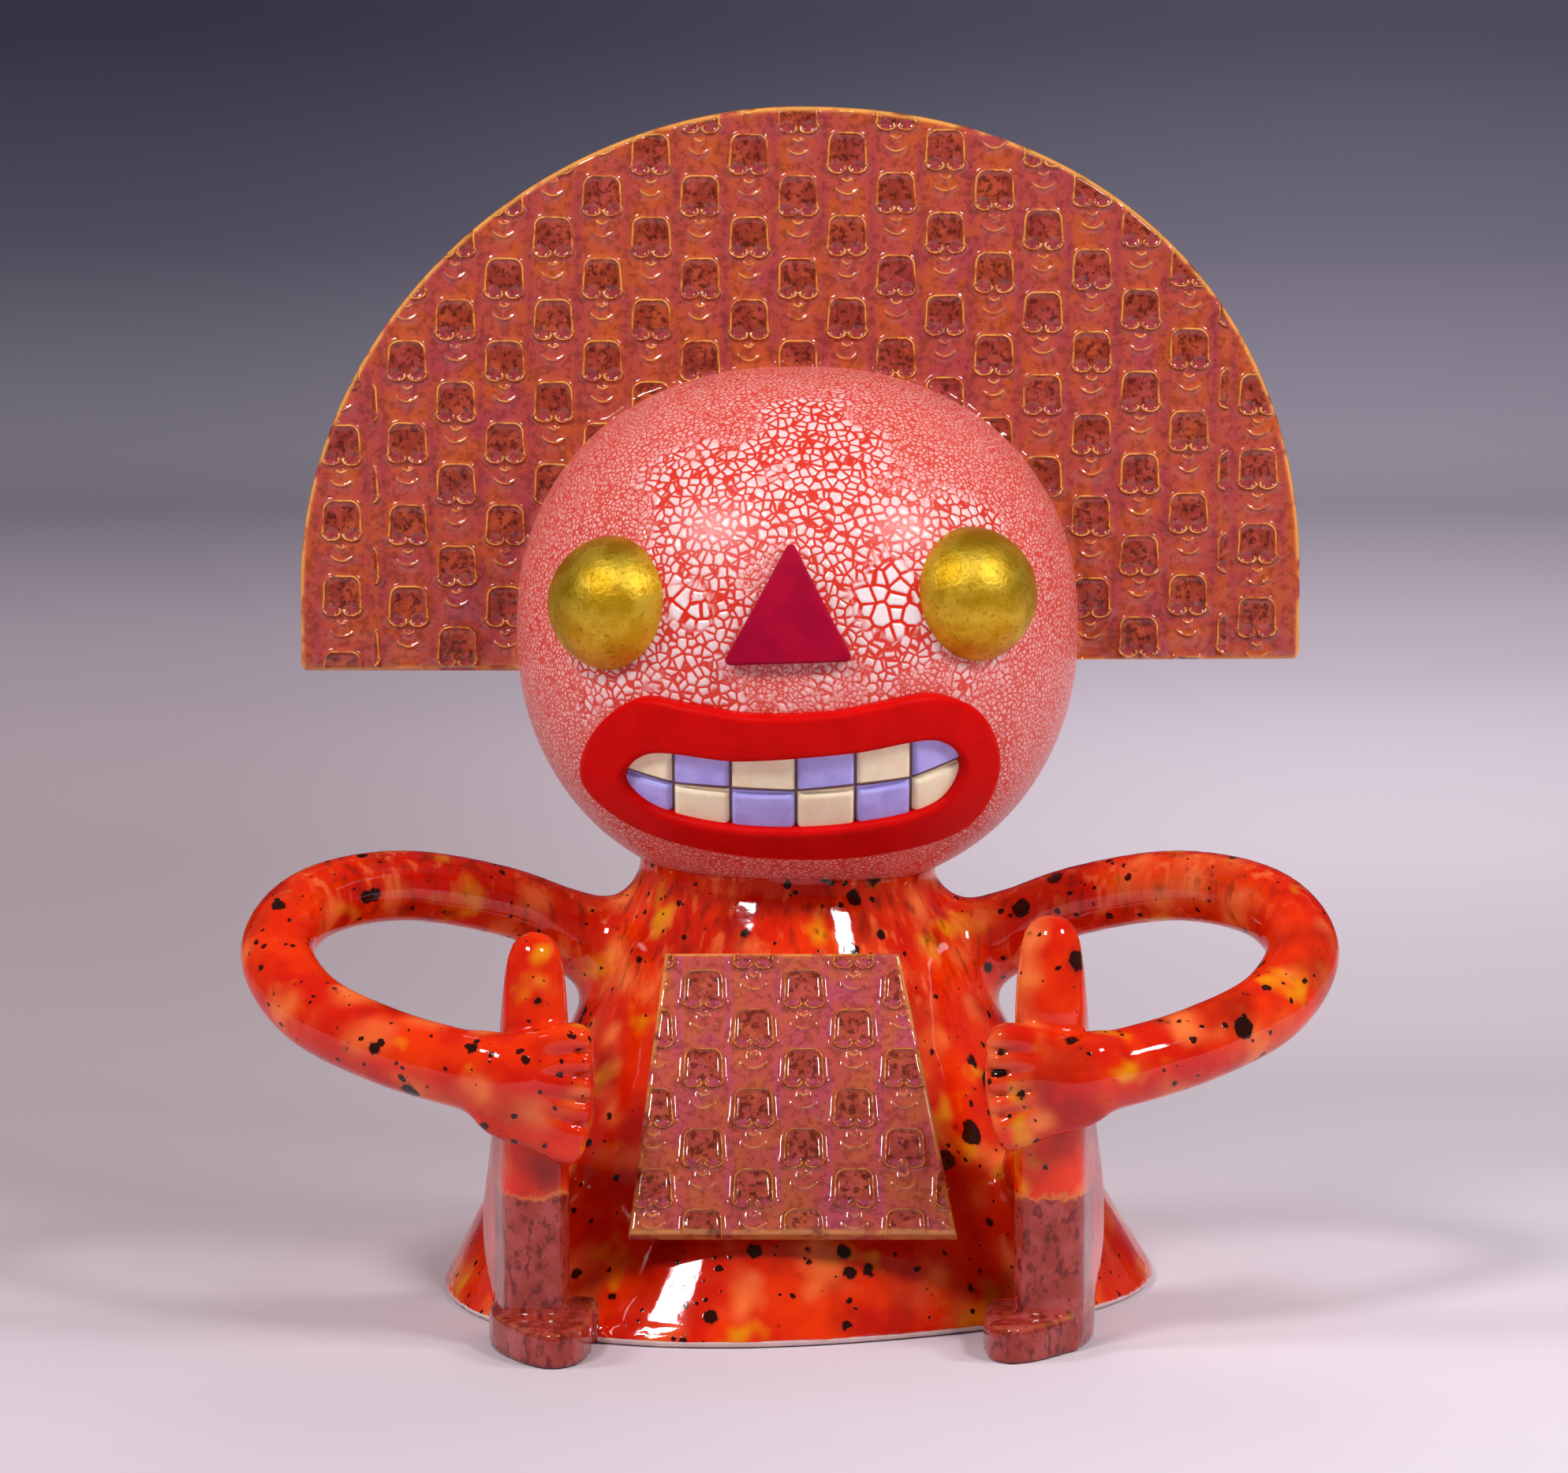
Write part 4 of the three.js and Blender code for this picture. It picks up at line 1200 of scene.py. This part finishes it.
@dataclass
class Mouth:
    """A broad band of lips round two rows of square teeth."""

    head: Head
    lip_height: float = 5.2
    tooth_height: float = 2.2
    lips: tuple[tuple[float, float], ...] = (
        (-65.8, 178), (-62.5, 194), (-48, 207), (-32, 205.6), (-14, 203), (14, 203.8), (31, 207),
        (46, 208.6), (60, 202), (66.5, 184), (57.8, 165), (27, 155.8), (-20, 156.4), (-52, 165.2),
    )
    opening: tuple[tuple[float, float], ...] = (
        (-52.2, 181), (-45, 189), (-16, 188), (20, 190.7), (47, 193.6), (54, 187), (48.4, 174), (22, 166.8),
        (-18, 166), (-45, 172.4),
    )
    groove: float = 1.2
    middle: tuple[tuple[float, float], ...] = ((-56, 183), (-37.8, 178.4), (1.7, 176.7), (39.3, 180.5), (58, 187.5))
    uprights: tuple[float, ...] = (-37.8, -19.2, 2, 21.2, 39.2)

    def build_lips(self, material: bpy.types.Material) -> None:
        """Makes the band: lines from the outer edge to the opening, raised, with both edges rounded over."""
        columns = 420
        outer = even_line(smooth_line(self.lips, 24, True), columns, True)
        inner = even_line(smooth_line(self.opening, 24, True), columns, True)
        start = np.argmin(np.linalg.norm(inner - outer[0] * 0.8 - inner.mean(0) * 0.2, axis=1))
        inner = np.roll(inner, -start, 0)
        across = np.concatenate([np.linspace(0, 0.2, 9), np.linspace(0.24, 0.76, 12), np.linspace(0.8, 1, 9)])
        shares = across[:, None, None]
        flat = outer[None] * (1 - shares) + inner[None] * shares
        x, z = flat[..., 0], flat[..., 1]
        edge_out = np.maximum(-outline_distance(outer, x, z), 0)
        edge_in = np.maximum(outline_distance(inner, x, z), 0)
        height = self.lip_height - edge_round(edge_out, 2.2) - edge_round(edge_in, 1.8)
        rows = np.concatenate([[0], np.arange(len(across)), [len(across) - 1]])
        height, x, z = height[rows], x[rows], z[rows]
        height[0], height[-1] = -2.5, -2.5
        points = self.head.on_face(x, z, height)
        faces = grid_faces(len(rows), columns, wrap_rows=True, wrap_columns=True)[:, ::-1]
        dress(make_piece("lip_band", points.reshape(-1, 3), faces), material, Finish.RED, "lips")

    def build_teeth(self, material: bpy.types.Material) -> None:
        """Makes both rows as one slab: upright lines between the opening's lower and upper edge, raised into
        pillows that fall off into the grooves between them."""
        edge = even_line(smooth_line(self.opening, 24, True), 600, True)
        low_end, high_end = edge[np.argmin(edge[:, 0])], edge[np.argmax(edge[:, 0])]
        columns, rows = 230, 72
        turn = np.linspace(0, np.pi, columns)
        across = (low_end[0] + high_end[0]) / 2 - (high_end[0] - low_end[0]) / 2 * np.cos(turn) * 0.999
        linear = np.linspace(low_end[0] + 0.05, high_end[0] - 0.05, columns)
        across = 0.35 * across + 0.65 * linear
        split = low_end[1] + (high_end[1] - low_end[1]) * (edge[:, 0] - low_end[0]) / (high_end[0] - low_end[0])
        bounds = []
        for upper in (False, True):
            part = edge[(edge[:, 1] > split) == upper]
            part = part[np.argsort(part[:, 0])]
            bounds.append(np.interp(across, part[:, 0], part[:, 1]))
        share = np.linspace(0, 1, rows)[:, None]
        z = bounds[0] * (1 - share) + bounds[1] * share
        x = np.broadcast_to(across, z.shape)
        line = smooth_line(self.middle, 12, False)
        between = np.abs(z - np.interp(x, line[:, 0], line[:, 1]))
        beside = np.min([np.abs(x - at) for at in self.uprights], 0)
        gap = soft_min(between, beside, 1.2)
        height = self.tooth_height - edge_round(np.maximum(gap - self.groove * 0.35, 0), 1.6) * 0.95
        points = self.head.on_face(x, z, height)
        back = self.head.on_face(x, z, np.full_like(z, -1.5))
        count = rows * columns
        faces = grid_faces(rows, columns)
        ring = np.concatenate([np.arange(columns), np.arange(1, rows) * columns + columns - 1,
                               (rows - 1) * columns + np.arange(columns - 2, -1, -1),
                               np.arange(rows - 2, 0, -1) * columns])
        after = np.roll(ring, -1)
        walls = np.stack([ring + count, after + count, after, ring], 1)
        everything = np.vstack([faces, faces[:, ::-1] + count, walls])
        piece = make_piece("tooth_rows", np.vstack([points.reshape(-1, 3), back.reshape(-1, 3)]), everything,
                           sharp_above=1.2)
        dress(piece, material, Finish.TEETH, "teeth")


# Finishes


@dataclass(frozen=True)
class MauveSkin:
    """Mauve-brown glaze, blotched with brown where it ran thick."""

    base: str = "943024"
    pink: str = "a6423e"
    brown: str = "5e120a"
    amber: str = "c8783a"

    def colours(self, bench: Bench) -> Wire:
        """Mixes its colours at every place."""
        cloud = bench.noise(9, 3, shift=31)
        vein = bench.noise(3.2, 4, 0.65, shift=37, stretch=(1, 1, 0.6))
        skin = bench.blend(ease(cloud, 0.42, 0.62), colour(self.base), colour(self.pink))
        return bench.blend(ease(vein, 0.50, 0.60) * 0.8, skin, colour(self.brown))


@dataclass(frozen=True)
class OrangeGlaze:
    """Glossy red-orange glaze, clouded with peach and yellow and strewn with black crystals, over pale clay."""

    red: str = "ca1602"
    orange: str = "e23202"
    peach: str = "f27a3c"
    yellow: str = "e2960a"
    deep: str = "8a0801"
    black: str = "100502"
    brown: str = "5e1404"
    clay: str = "ead2cc"
    boot: MauveSkin = MauveSkin()

    def make(self) -> bpy.types.Material:
        """Builds it: clouds first, then crystals, then the boots and the bare clay."""
        bench = Bench("orange glaze")
        x, y, z = bench.axes()
        skin = bench.blend(ease(bench.noise(26, 3, 0.6), 0.36, 0.66), colour(self.red), colour(self.orange))
        blobs = bench.cells(15, "SMOOTH_F1", bench.pushed(bench.place, 9, 3), 5).out("Distance")
        skin = bench.blend(ease(0.52 - blobs, 0.0, 0.42) * ease(bench.noise(33, 2, shift=5), 0.4, 0.6) * 0.85, skin,
                           colour(self.peach))
        skin = bench.blend(ease(bench.noise(19, 2, shift=9), 0.58, 0.76) * 0.8, skin, colour(self.yellow))
        skin = bench.blend(ease(bench.noise(30, 3, shift=13), 0.52, 0.76) * 0.7, skin, colour(self.deep))
        runs = bench.noise(4.5, 3, shift=17, stretch=(1, 1, 0.16))
        high = ease(z, 84.0, 112.0) * ease(y, -75.0, -50.0)
        skin = bench.blend(ease(runs, 0.54, 0.72) * high * 0.5, skin, colour(self.peach))
        skin = bench.blend(ease(runs, 0.46, 0.32) * high * 0.5, skin, colour(self.brown))
        ragged = bench.pushed(bench.pushed(bench.place, 2.6, 1.1), 0.9, 0.35)
        crowd = ease(bench.noise(40, 2, shift=21), 0.34, 0.58) * 0.8 + 0.35
        large = bench.spots(24, 0.0, 4.6, ragged, 3, crowd)
        middle = bench.spots(9.5, 0.0, 2.1, ragged, 6, crowd)
        small = bench.spots(3.6, 0.0, 0.85, ragged, 8, crowd)
        crystal = most(most(ease(large, -0.2, 0.4), ease(middle, -0.15, 0.25)), ease(small, -0.1, 0.15))
        halo = most(ease(large, -1.8, 0.1), ease(middle, -0.8, 0.1))
        skin = bench.blend(halo * 0.35, skin, colour(self.brown))
        skin = bench.blend(crystal * 0.96, skin, colour(self.black))
        ragged_edge = (bench.noise(5, 3, 0.6, shift=41) - 0.5) * 9
        front = ease(y, -96.0, -99.0) * ease(bench.painted("leg"), 1.6, 1.0)
        boot = ease(z + ragged_edge, 51.5, 49.5) * front
        skin = bench.blend(boot, skin, self.boot.colours(bench))
        run_edge = hill(z + ragged_edge - 51.0, 0.8) * front
        skin = bench.blend(run_edge * 0.6, skin, colour(self.boot.amber))
        worn = hill(bench.painted("sole_edge"), 0.9) * ease(bench.noise(6, 2, shift=43), 0.35, 0.55)
        skin = bench.blend(worn * 0.85, skin, colour(self.boot.amber))
        bare = most(ease(z + (bench.noise(8, 2) - 0.5) * 0.8, 2.5, 2.1) * (1 - boot),
                    ease(bench.painted("hollow"), 1.6, 0.9))
        skin = bench.blend(bare, skin, colour(self.clay))
        swell = bench.noise(16, 2, shift=51) * 0.5 + bench.noise(3.0, 2, shift=53) * 0.05
        normal = bench.bump(swell + crystal * 0.04, 0.5)
        rough = bare * 0.5 + boot * 0.04 + 0.05
        return bench.shade(Base_Color=skin, Roughness=rough, Normal=normal, Specular_IOR_Level=0.42)


@dataclass(frozen=True)
class CrackleGlaze:
    """White glaze that crawled into islands and shows the red under it, coarse on brow and cheeks."""

    white: str = "eedada"
    pink: str = "f0a29c"
    red: str = "d42206"
    rose: str = "d0463a"
    brow: tuple[tuple[float, float, float, float], ...] = (
        (34, 238, 18, 0.85), (8, 286, 26, 0.5), (-36, 236, 15, 0.7), (-22, 262, 16, 0.35), (-45, 208, 14, 0.5),
        (62, 262, 12, 0.3),
    )

    def make(self) -> bpy.types.Material:
        """Builds it: cracks of three sizes, chosen by a map of the face."""
        bench = Bench("crackle glaze")
        x, y, z = bench.axes()
        place = bench.pushed(bench.place, 5, 0.5)
        across, up = (x - 2.6) / 94, (z - 226) / 84
        far = root(across * across + up * up)
        coarse = (bench.noise(22, 3, shift=3) - 0.5) * 1.3 - ease(far, 0.6, 1.05) * 0.55
        for cx, cz, size, weight in self.brow:
            dx, dz = (x - cx) / size, (z - cz) / size
            coarse = coarse + (-(dx * dx + dz * dz)).math("EXPONENT") * weight
        coarse = coarse - ease(y, -20.0, 10.0) * 0.3
        large, middle = ease(coarse, 0.46, 0.68), ease(coarse, -0.16, 0.12)
        islands, tops = [], []
        for length, gap, shift in ((5.2, 0.75, 2), (3.1, 0.5, 4), (1.7, 0.25, 6)):
            away = bench.cells(length, "DISTANCE_TO_EDGE", place, shift).out("Distance") * length
            wide = (bench.noise(12, 2, shift=shift + 1) * 1.2 + 0.4) * gap
            islands.append(ease(away - wide * 0.5, -0.02, 0.22 + gap * 0.2))
            tops.append(ease(away - wide * 0.5, -0.1, 0.9))
        island = self._pick(islands, middle, large)
        top = self._pick(tops, middle, large)
        tint = most(large, middle * 0.65)
        skin = bench.blend(tint, colour(self.pink), colour(self.white))
        under = bench.blend(tint, colour(self.rose), colour(self.red))
        skin = bench.blend(island, under, skin)
        normal = bench.bump(top, 0.28, bench.bump(bench.noise(14, 2), 0.3))
        return bench.shade(Base_Color=skin, Roughness=0.16 + (1 - island) * 0.15, Normal=normal)

    @staticmethod
    def _pick(values: list[Wire], middle: Wire, large: Wire) -> Wire:
        """Takes the coarse, middle or fine value by two masks."""
        fine = values[2] * (1 - middle) + values[1] * middle
        return fine * (1 - large) + values[0] * large


@dataclass(frozen=True)
class StampedGlaze:
    """Glaze over skull stamps: amber where it ran thin on the ridges, dark and mottled in the hollows."""

    name: str
    stamps: Stamps
    flat: bool
    base: str
    patch: str
    seam: str
    dish: str
    speck: str
    amber: str
    halo: str
    line: float

    def make(self) -> bpy.types.Material:
        """Builds it from the same stamp drawing as the mesh."""
        bench = Bench(self.name)
        x, y, z = bench.axes()
        front = ease(y, 6.5, 4.5)
        if self.flat:
            x, z = bench.painted("across"), bench.painted("up")
            front = 1.0
        wave = (bench.noise(7, 2, shift=61) - 0.5) * 0.8
        u, v = self.stamps.cell(x + wave, z - wave)
        skull = self.stamps.cranium(u, v)
        inside = ease(-skull, -0.2, 0.8) * front
        line = self.stamps.ridges(u, v, 0.26)
        strong = ease(bench.noise(5, 3, 0.6, shift=63), 0.36, 0.60) * 0.85 + 0.15
        side = hill(abs(u) - self.stamps.pitch / 2, 1.6) * ease(bench.noise(14, 2, shift=64), 0.35, 0.6)
        skin = bench.blend(ease(bench.noise(12, 3, shift=65), 0.44, 0.62), colour(self.base), colour(self.patch))
        skin = bench.blend(most(side, ease(bench.noise(18, 2, shift=66), 0.55, 0.7)) * 0.7, skin, colour(self.seam))
        cloud = bench.noise(5.5, 3, shift=67)
        skin = bench.blend(inside * (ease(cloud, 0.35, 0.6) * 0.7 + 0.2), skin, colour(self.dish))
        blot = ease(bench.noise(2.4, 4, 0.65, shift=69), 0.48, 0.60) * (inside * 0.42 + 0.36)
        skin = bench.blend(blot, skin, colour(self.speck))
        socket = ease(-self.stamps.socket(u, v), 0.0, 0.8) * front
        skin = bench.blend(socket * 0.5, skin, colour(self.seam))
        around = hill(skull + 0.6, 0.8) * (1 - ease(v, 13.0, 15.5)) * front
        skin = bench.blend(around * 0.8 * strong, skin, colour(self.halo))
        skin = bench.blend(line * strong * front * self.line, skin, colour(self.amber))
        rim = hill(bench.painted("rim") - 0.5, 0.8) * ease(bench.noise(10, 2, shift=71), 0.35, 0.5)
        skin = bench.blend(rim * 0.8, skin, colour(self.amber))
        swell = bench.noise(6, 2, shift=73) * 0.35
        height = self.stamps.ridges(u, v, 0.42) * 0.4 * front + swell
        normal = bench.bump(height, 0.6)
        return bench.shade(Base_Color=skin, Roughness=0.08, Normal=normal, Specular_IOR_Level=0.6)


@dataclass(frozen=True)
class GoldLeaf:
    """Gold leaf on clay, faintly wrinkled."""

    def make(self) -> bpy.types.Material:
        """Builds it: metal whose colour and roughness wander with the leaf's creases."""
        bench = Bench("gold leaf")
        creases = bench.noise(1.6, 4, 0.62, shift=81)
        cloud = bench.noise(9, 3, shift=83)
        skin = bench.blend(ease(cloud, 0.35, 0.65), colour("cc9c14"), colour("e6be38"))
        skin = bench.blend(ease(creases, 0.56, 0.66) * 0.5, skin, colour("8a6208"))
        normal = bench.bump(creases + cloud, 0.28)
        return bench.shade(Base_Color=skin, Metallic=0.88, Roughness=0.42 + creases * 0.12, Normal=normal)


@dataclass(frozen=True)
class MattPaint:
    """Matt underglaze colour, a little uneven."""

    name: str
    main: str
    other: str
    rough: float = 0.42
    grain: float = 0.08

    def make(self) -> bpy.types.Material:
        """Builds it."""
        bench = Bench(self.name)
        skin = bench.blend(ease(bench.noise(11, 3, 0.6), 0.38, 0.62), colour(self.main), colour(self.other))
        fine = bench.noise(1.1, 3, 0.6)
        rough = bench.noise(6, 2) * 0.12 + (self.rough - 0.06)
        normal = bench.bump(fine * 0.4 + bench.noise(12, 2), self.grain * 2)
        return bench.shade(Base_Color=skin, Roughness=rough, Normal=normal, Specular_IOR_Level=0.08)


@dataclass(frozen=True)
class TeethPaint:
    """Cream and lilac squares in turn, with brown in the grooves."""

    mouth: Mouth

    def make(self) -> bpy.types.Material:
        """Builds it: the number of uprights passed, and the row, choose the colour."""
        bench = Bench("teeth satin")
        x, y, z = bench.axes()
        passed: Value = 0.0
        beside: Value = 99.0
        for at in self.mouth.uprights:
            passed = passed + ease(x - at, -0.1, 0.1) if isinstance(passed, Wire) else ease(x - at, -0.1, 0.1)
            beside = least(beside, abs(x - at)) if isinstance(beside, Wire) else abs(x - at)
        line = self.mouth.middle
        level: Value = x * 0 + line[0][1]
        for (x0, z0), (x1, z1) in zip(line, line[1:]):
            level = level + (most(least((x - x0) * (1 / (x1 - x0)), 1.0), 0.0)) * (z1 - z0)
        upper = ease(z - level, -0.1, 0.1)
        lilac = abs(((passed + upper) % 2.0) - 1)
        uneven = bench.noise(7, 3, 0.6)
        cream = bench.blend(ease(uneven, 0.4, 0.65), colour("fff2ce"), colour("fbe6c0"))
        mauve = bench.blend(ease(uneven, 0.4, 0.65), colour("bcb4fc"), colour("aca4f2"))
        skin = bench.blend(lilac, cream, mauve)
        gap = least(beside, abs(z - level))
        skin = bench.blend(ease(gap, 0.75, 0.3) * 0.9, skin, colour("4a2218"))
        normal = bench.bump(uneven, 0.12)
        return bench.shade(Base_Color=skin, Roughness=0.38, Normal=normal)


# Studio


@dataclass
class Studio:
    """Pale floor and backdrop, soft lights and the camera."""

    def build(self) -> None:
        """Sets everything up."""
        self.sweep()
        self.lights()
        self.camera()
        bpy.context.scene.view_settings.view_transform = "Standard"

    def sweep(self) -> None:
        """Makes the floor, which curves up behind into a backdrop. Its colour is painted light and shade: it darkens
        upwards and towards the figure's right, where the light falls off. Its wall stands far enough off for a look at
        the figure from behind."""
        bend, reach = 700, 2900
        floor = [(y, 0.0) for y in (-3600, -600, 0, 900, reach)]
        turn = [(reach + bend * np.sin(a), bend - bend * np.cos(a)) for a in np.linspace(0, np.pi / 2, 24)[1:]]
        profile = np.array(floor + turn + [(reach + bend, 3000)])
        x = np.array([-3600, -1000, 0, 1000, 3600])
        points = np.stack(np.broadcast_arrays(x[None, :], profile[:, :1], profile[:, 1:]), -1)
        sweep = make_piece("sweep", points.reshape(-1, 3), grid_faces(len(profile), len(x)))
        bench = Bench("paper")
        x, y, z = bench.axes()
        away = most(y, -1200.0) + 2200
        low = (460 - z) / away
        # Painted light and shade: dim is the colour on the figure's right and bright on its left, both darkening
        # upwards.
        dim = bench.ramp(low, (0.018, colour("31313e")), (0.05, colour("4b4856")), (0.08, colour("726d79")),
                         (0.12, colour("7b7077")), (0.143, colour("8b7d82")), (0.175, colour("a4959b")),
                         (0.2, colour("bdafb5")), (0.235, colour("cdc1ca")))
        bright = bench.ramp(low, (0.018, colour("494856")), (0.05, colour("696574")), (0.08, colour("8e8694")),
                            (0.115, colour("958a94")), (0.143, colour("b7acb5")), (0.175, colour("c0b4bc")),
                            (0.2, colour("d6cbd4")), (0.235, colour("ded3dd")))
        shade = bench.blend(ease(x / away, -0.1, 0.1), dim, bright)
        sweep.data.materials.append(bench.shade(Base_Color=shade, Roughness=0.7, Specular_IOR_Level=0.2))

    def lights(self) -> None:
        """Hangs the softboxes: two high in front for the crisp highlights, two low at the sides for the shadows,
        a weak one behind, and a wide one over the backdrop."""
        def softbox(name: str, turn: float, lift: float, away: float, size: tuple[float, float], power: float,
                    mirrored: bool = True, aim: Sequence[float] = (0, 0, 0.17)) -> None:
            """Aims one softbox at the figure or another place, from an angle to its front and above the floor."""
            light = bpy.data.lights.new(name, "AREA")
            light.shape, light.size, light.size_y, light.energy = "RECTANGLE", *size, power
            a, b = np.radians(turn), np.radians(lift)
            place = Vector(aim) + away * Vector((np.sin(a) * np.cos(b), -np.cos(a) * np.cos(b), np.sin(b)))
            lamp = bpy.data.objects.new(name, light)
            lamp.location = place
            lamp.visible_glossy, lamp.visible_camera = mirrored, False
            lamp.rotation_euler = (Vector(aim) - place).to_track_quat("-Z", "Y").to_euler()
            bpy.context.scene.collection.objects.link(lamp)

        softbox("front_right", -33, 44, 1.7, (0.34, 0.26), 12)
        softbox("front_left", 46, 42, 1.7, (0.34, 0.26), 11)
        softbox("side_right", -72, 30, 1.9, (0.45, 0.55), 14, False)
        softbox("side_left", 70, 30, 1.9, (0.45, 0.55), 14, False)
        softbox("behind", 180, 38, 1.75, (0.6, 0.6), 6, False)
        softbox("backdrop", 0, 55, 1.8, (3.0, 0.4), 60, False, (0, 2.6, 0))
        world = bpy.data.worlds.new("air")
        world.use_nodes = True
        world.node_tree.nodes["Background"].inputs["Color"].default_value = colour("c8c4cc")
        world.node_tree.nodes["Background"].inputs["Strength"].default_value = 0.2
        bpy.context.scene.world = world

    def camera(self) -> None:
        """Places the camera as the photograph was taken: from a long way off and a little above."""
        lens = bpy.data.cameras.new("camera")
        lens.sensor_width, lens.lens = 36, 151.39
        lens.clip_end = 50
        stand = bpy.data.objects.new("camera", lens)
        place = Vector((-1.9, BELL_BACK - 2200, 460)) * MM
        aim = Vector((-1.9, BELL_BACK, 184)) * MM
        stand.location = place
        stand.rotation_euler = (aim - place).to_track_quat("-Z", "Y").to_euler()
        bpy.context.scene.collection.objects.link(stand)
        bpy.context.scene.camera = stand


def main() -> None:
    """Builds the figure piece by piece, then the studio."""
    logging.basicConfig(level=logging.INFO, format="%(name)s %(message)s")
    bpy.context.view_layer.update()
    head = Head()
    head.build(CrackleGlaze().make())
    Body(head).build(OrangeGlaze().make())
    Fan(head).build(StampedGlaze("rust glaze", FAN_STAMPS, False, "b0483a", "b8502a", "a23c48", "8a3020", "480e06",
                                 "f0a850", "94340c", 0.95).make())
    Apron().build(StampedGlaze("mauve glaze", APRON_STAMPS, True, "b24c42", "b65838", "ae4660", "983c2c", "501408",
                               "e09644", "8e3818", 0.85).make())
    gold = GoldLeaf().make()
    for name, x, z in (("right_eye", -56.6, 235.9), ("left_eye", 58.2, 239)):
        Eye(head, name, x, z).build(gold)
    Nose(head).build(MattPaint("crimson matt", "96022a", "a4042c", 0.55).make())
    mouth = Mouth(head)
    mouth.build_lips(MattPaint("red matt", "c40201", "ce0402", 0.5).make())
    mouth.build_teeth(TeethPaint(mouth).make())
    Studio().build()
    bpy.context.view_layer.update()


if __name__ == "__main__":
    main()
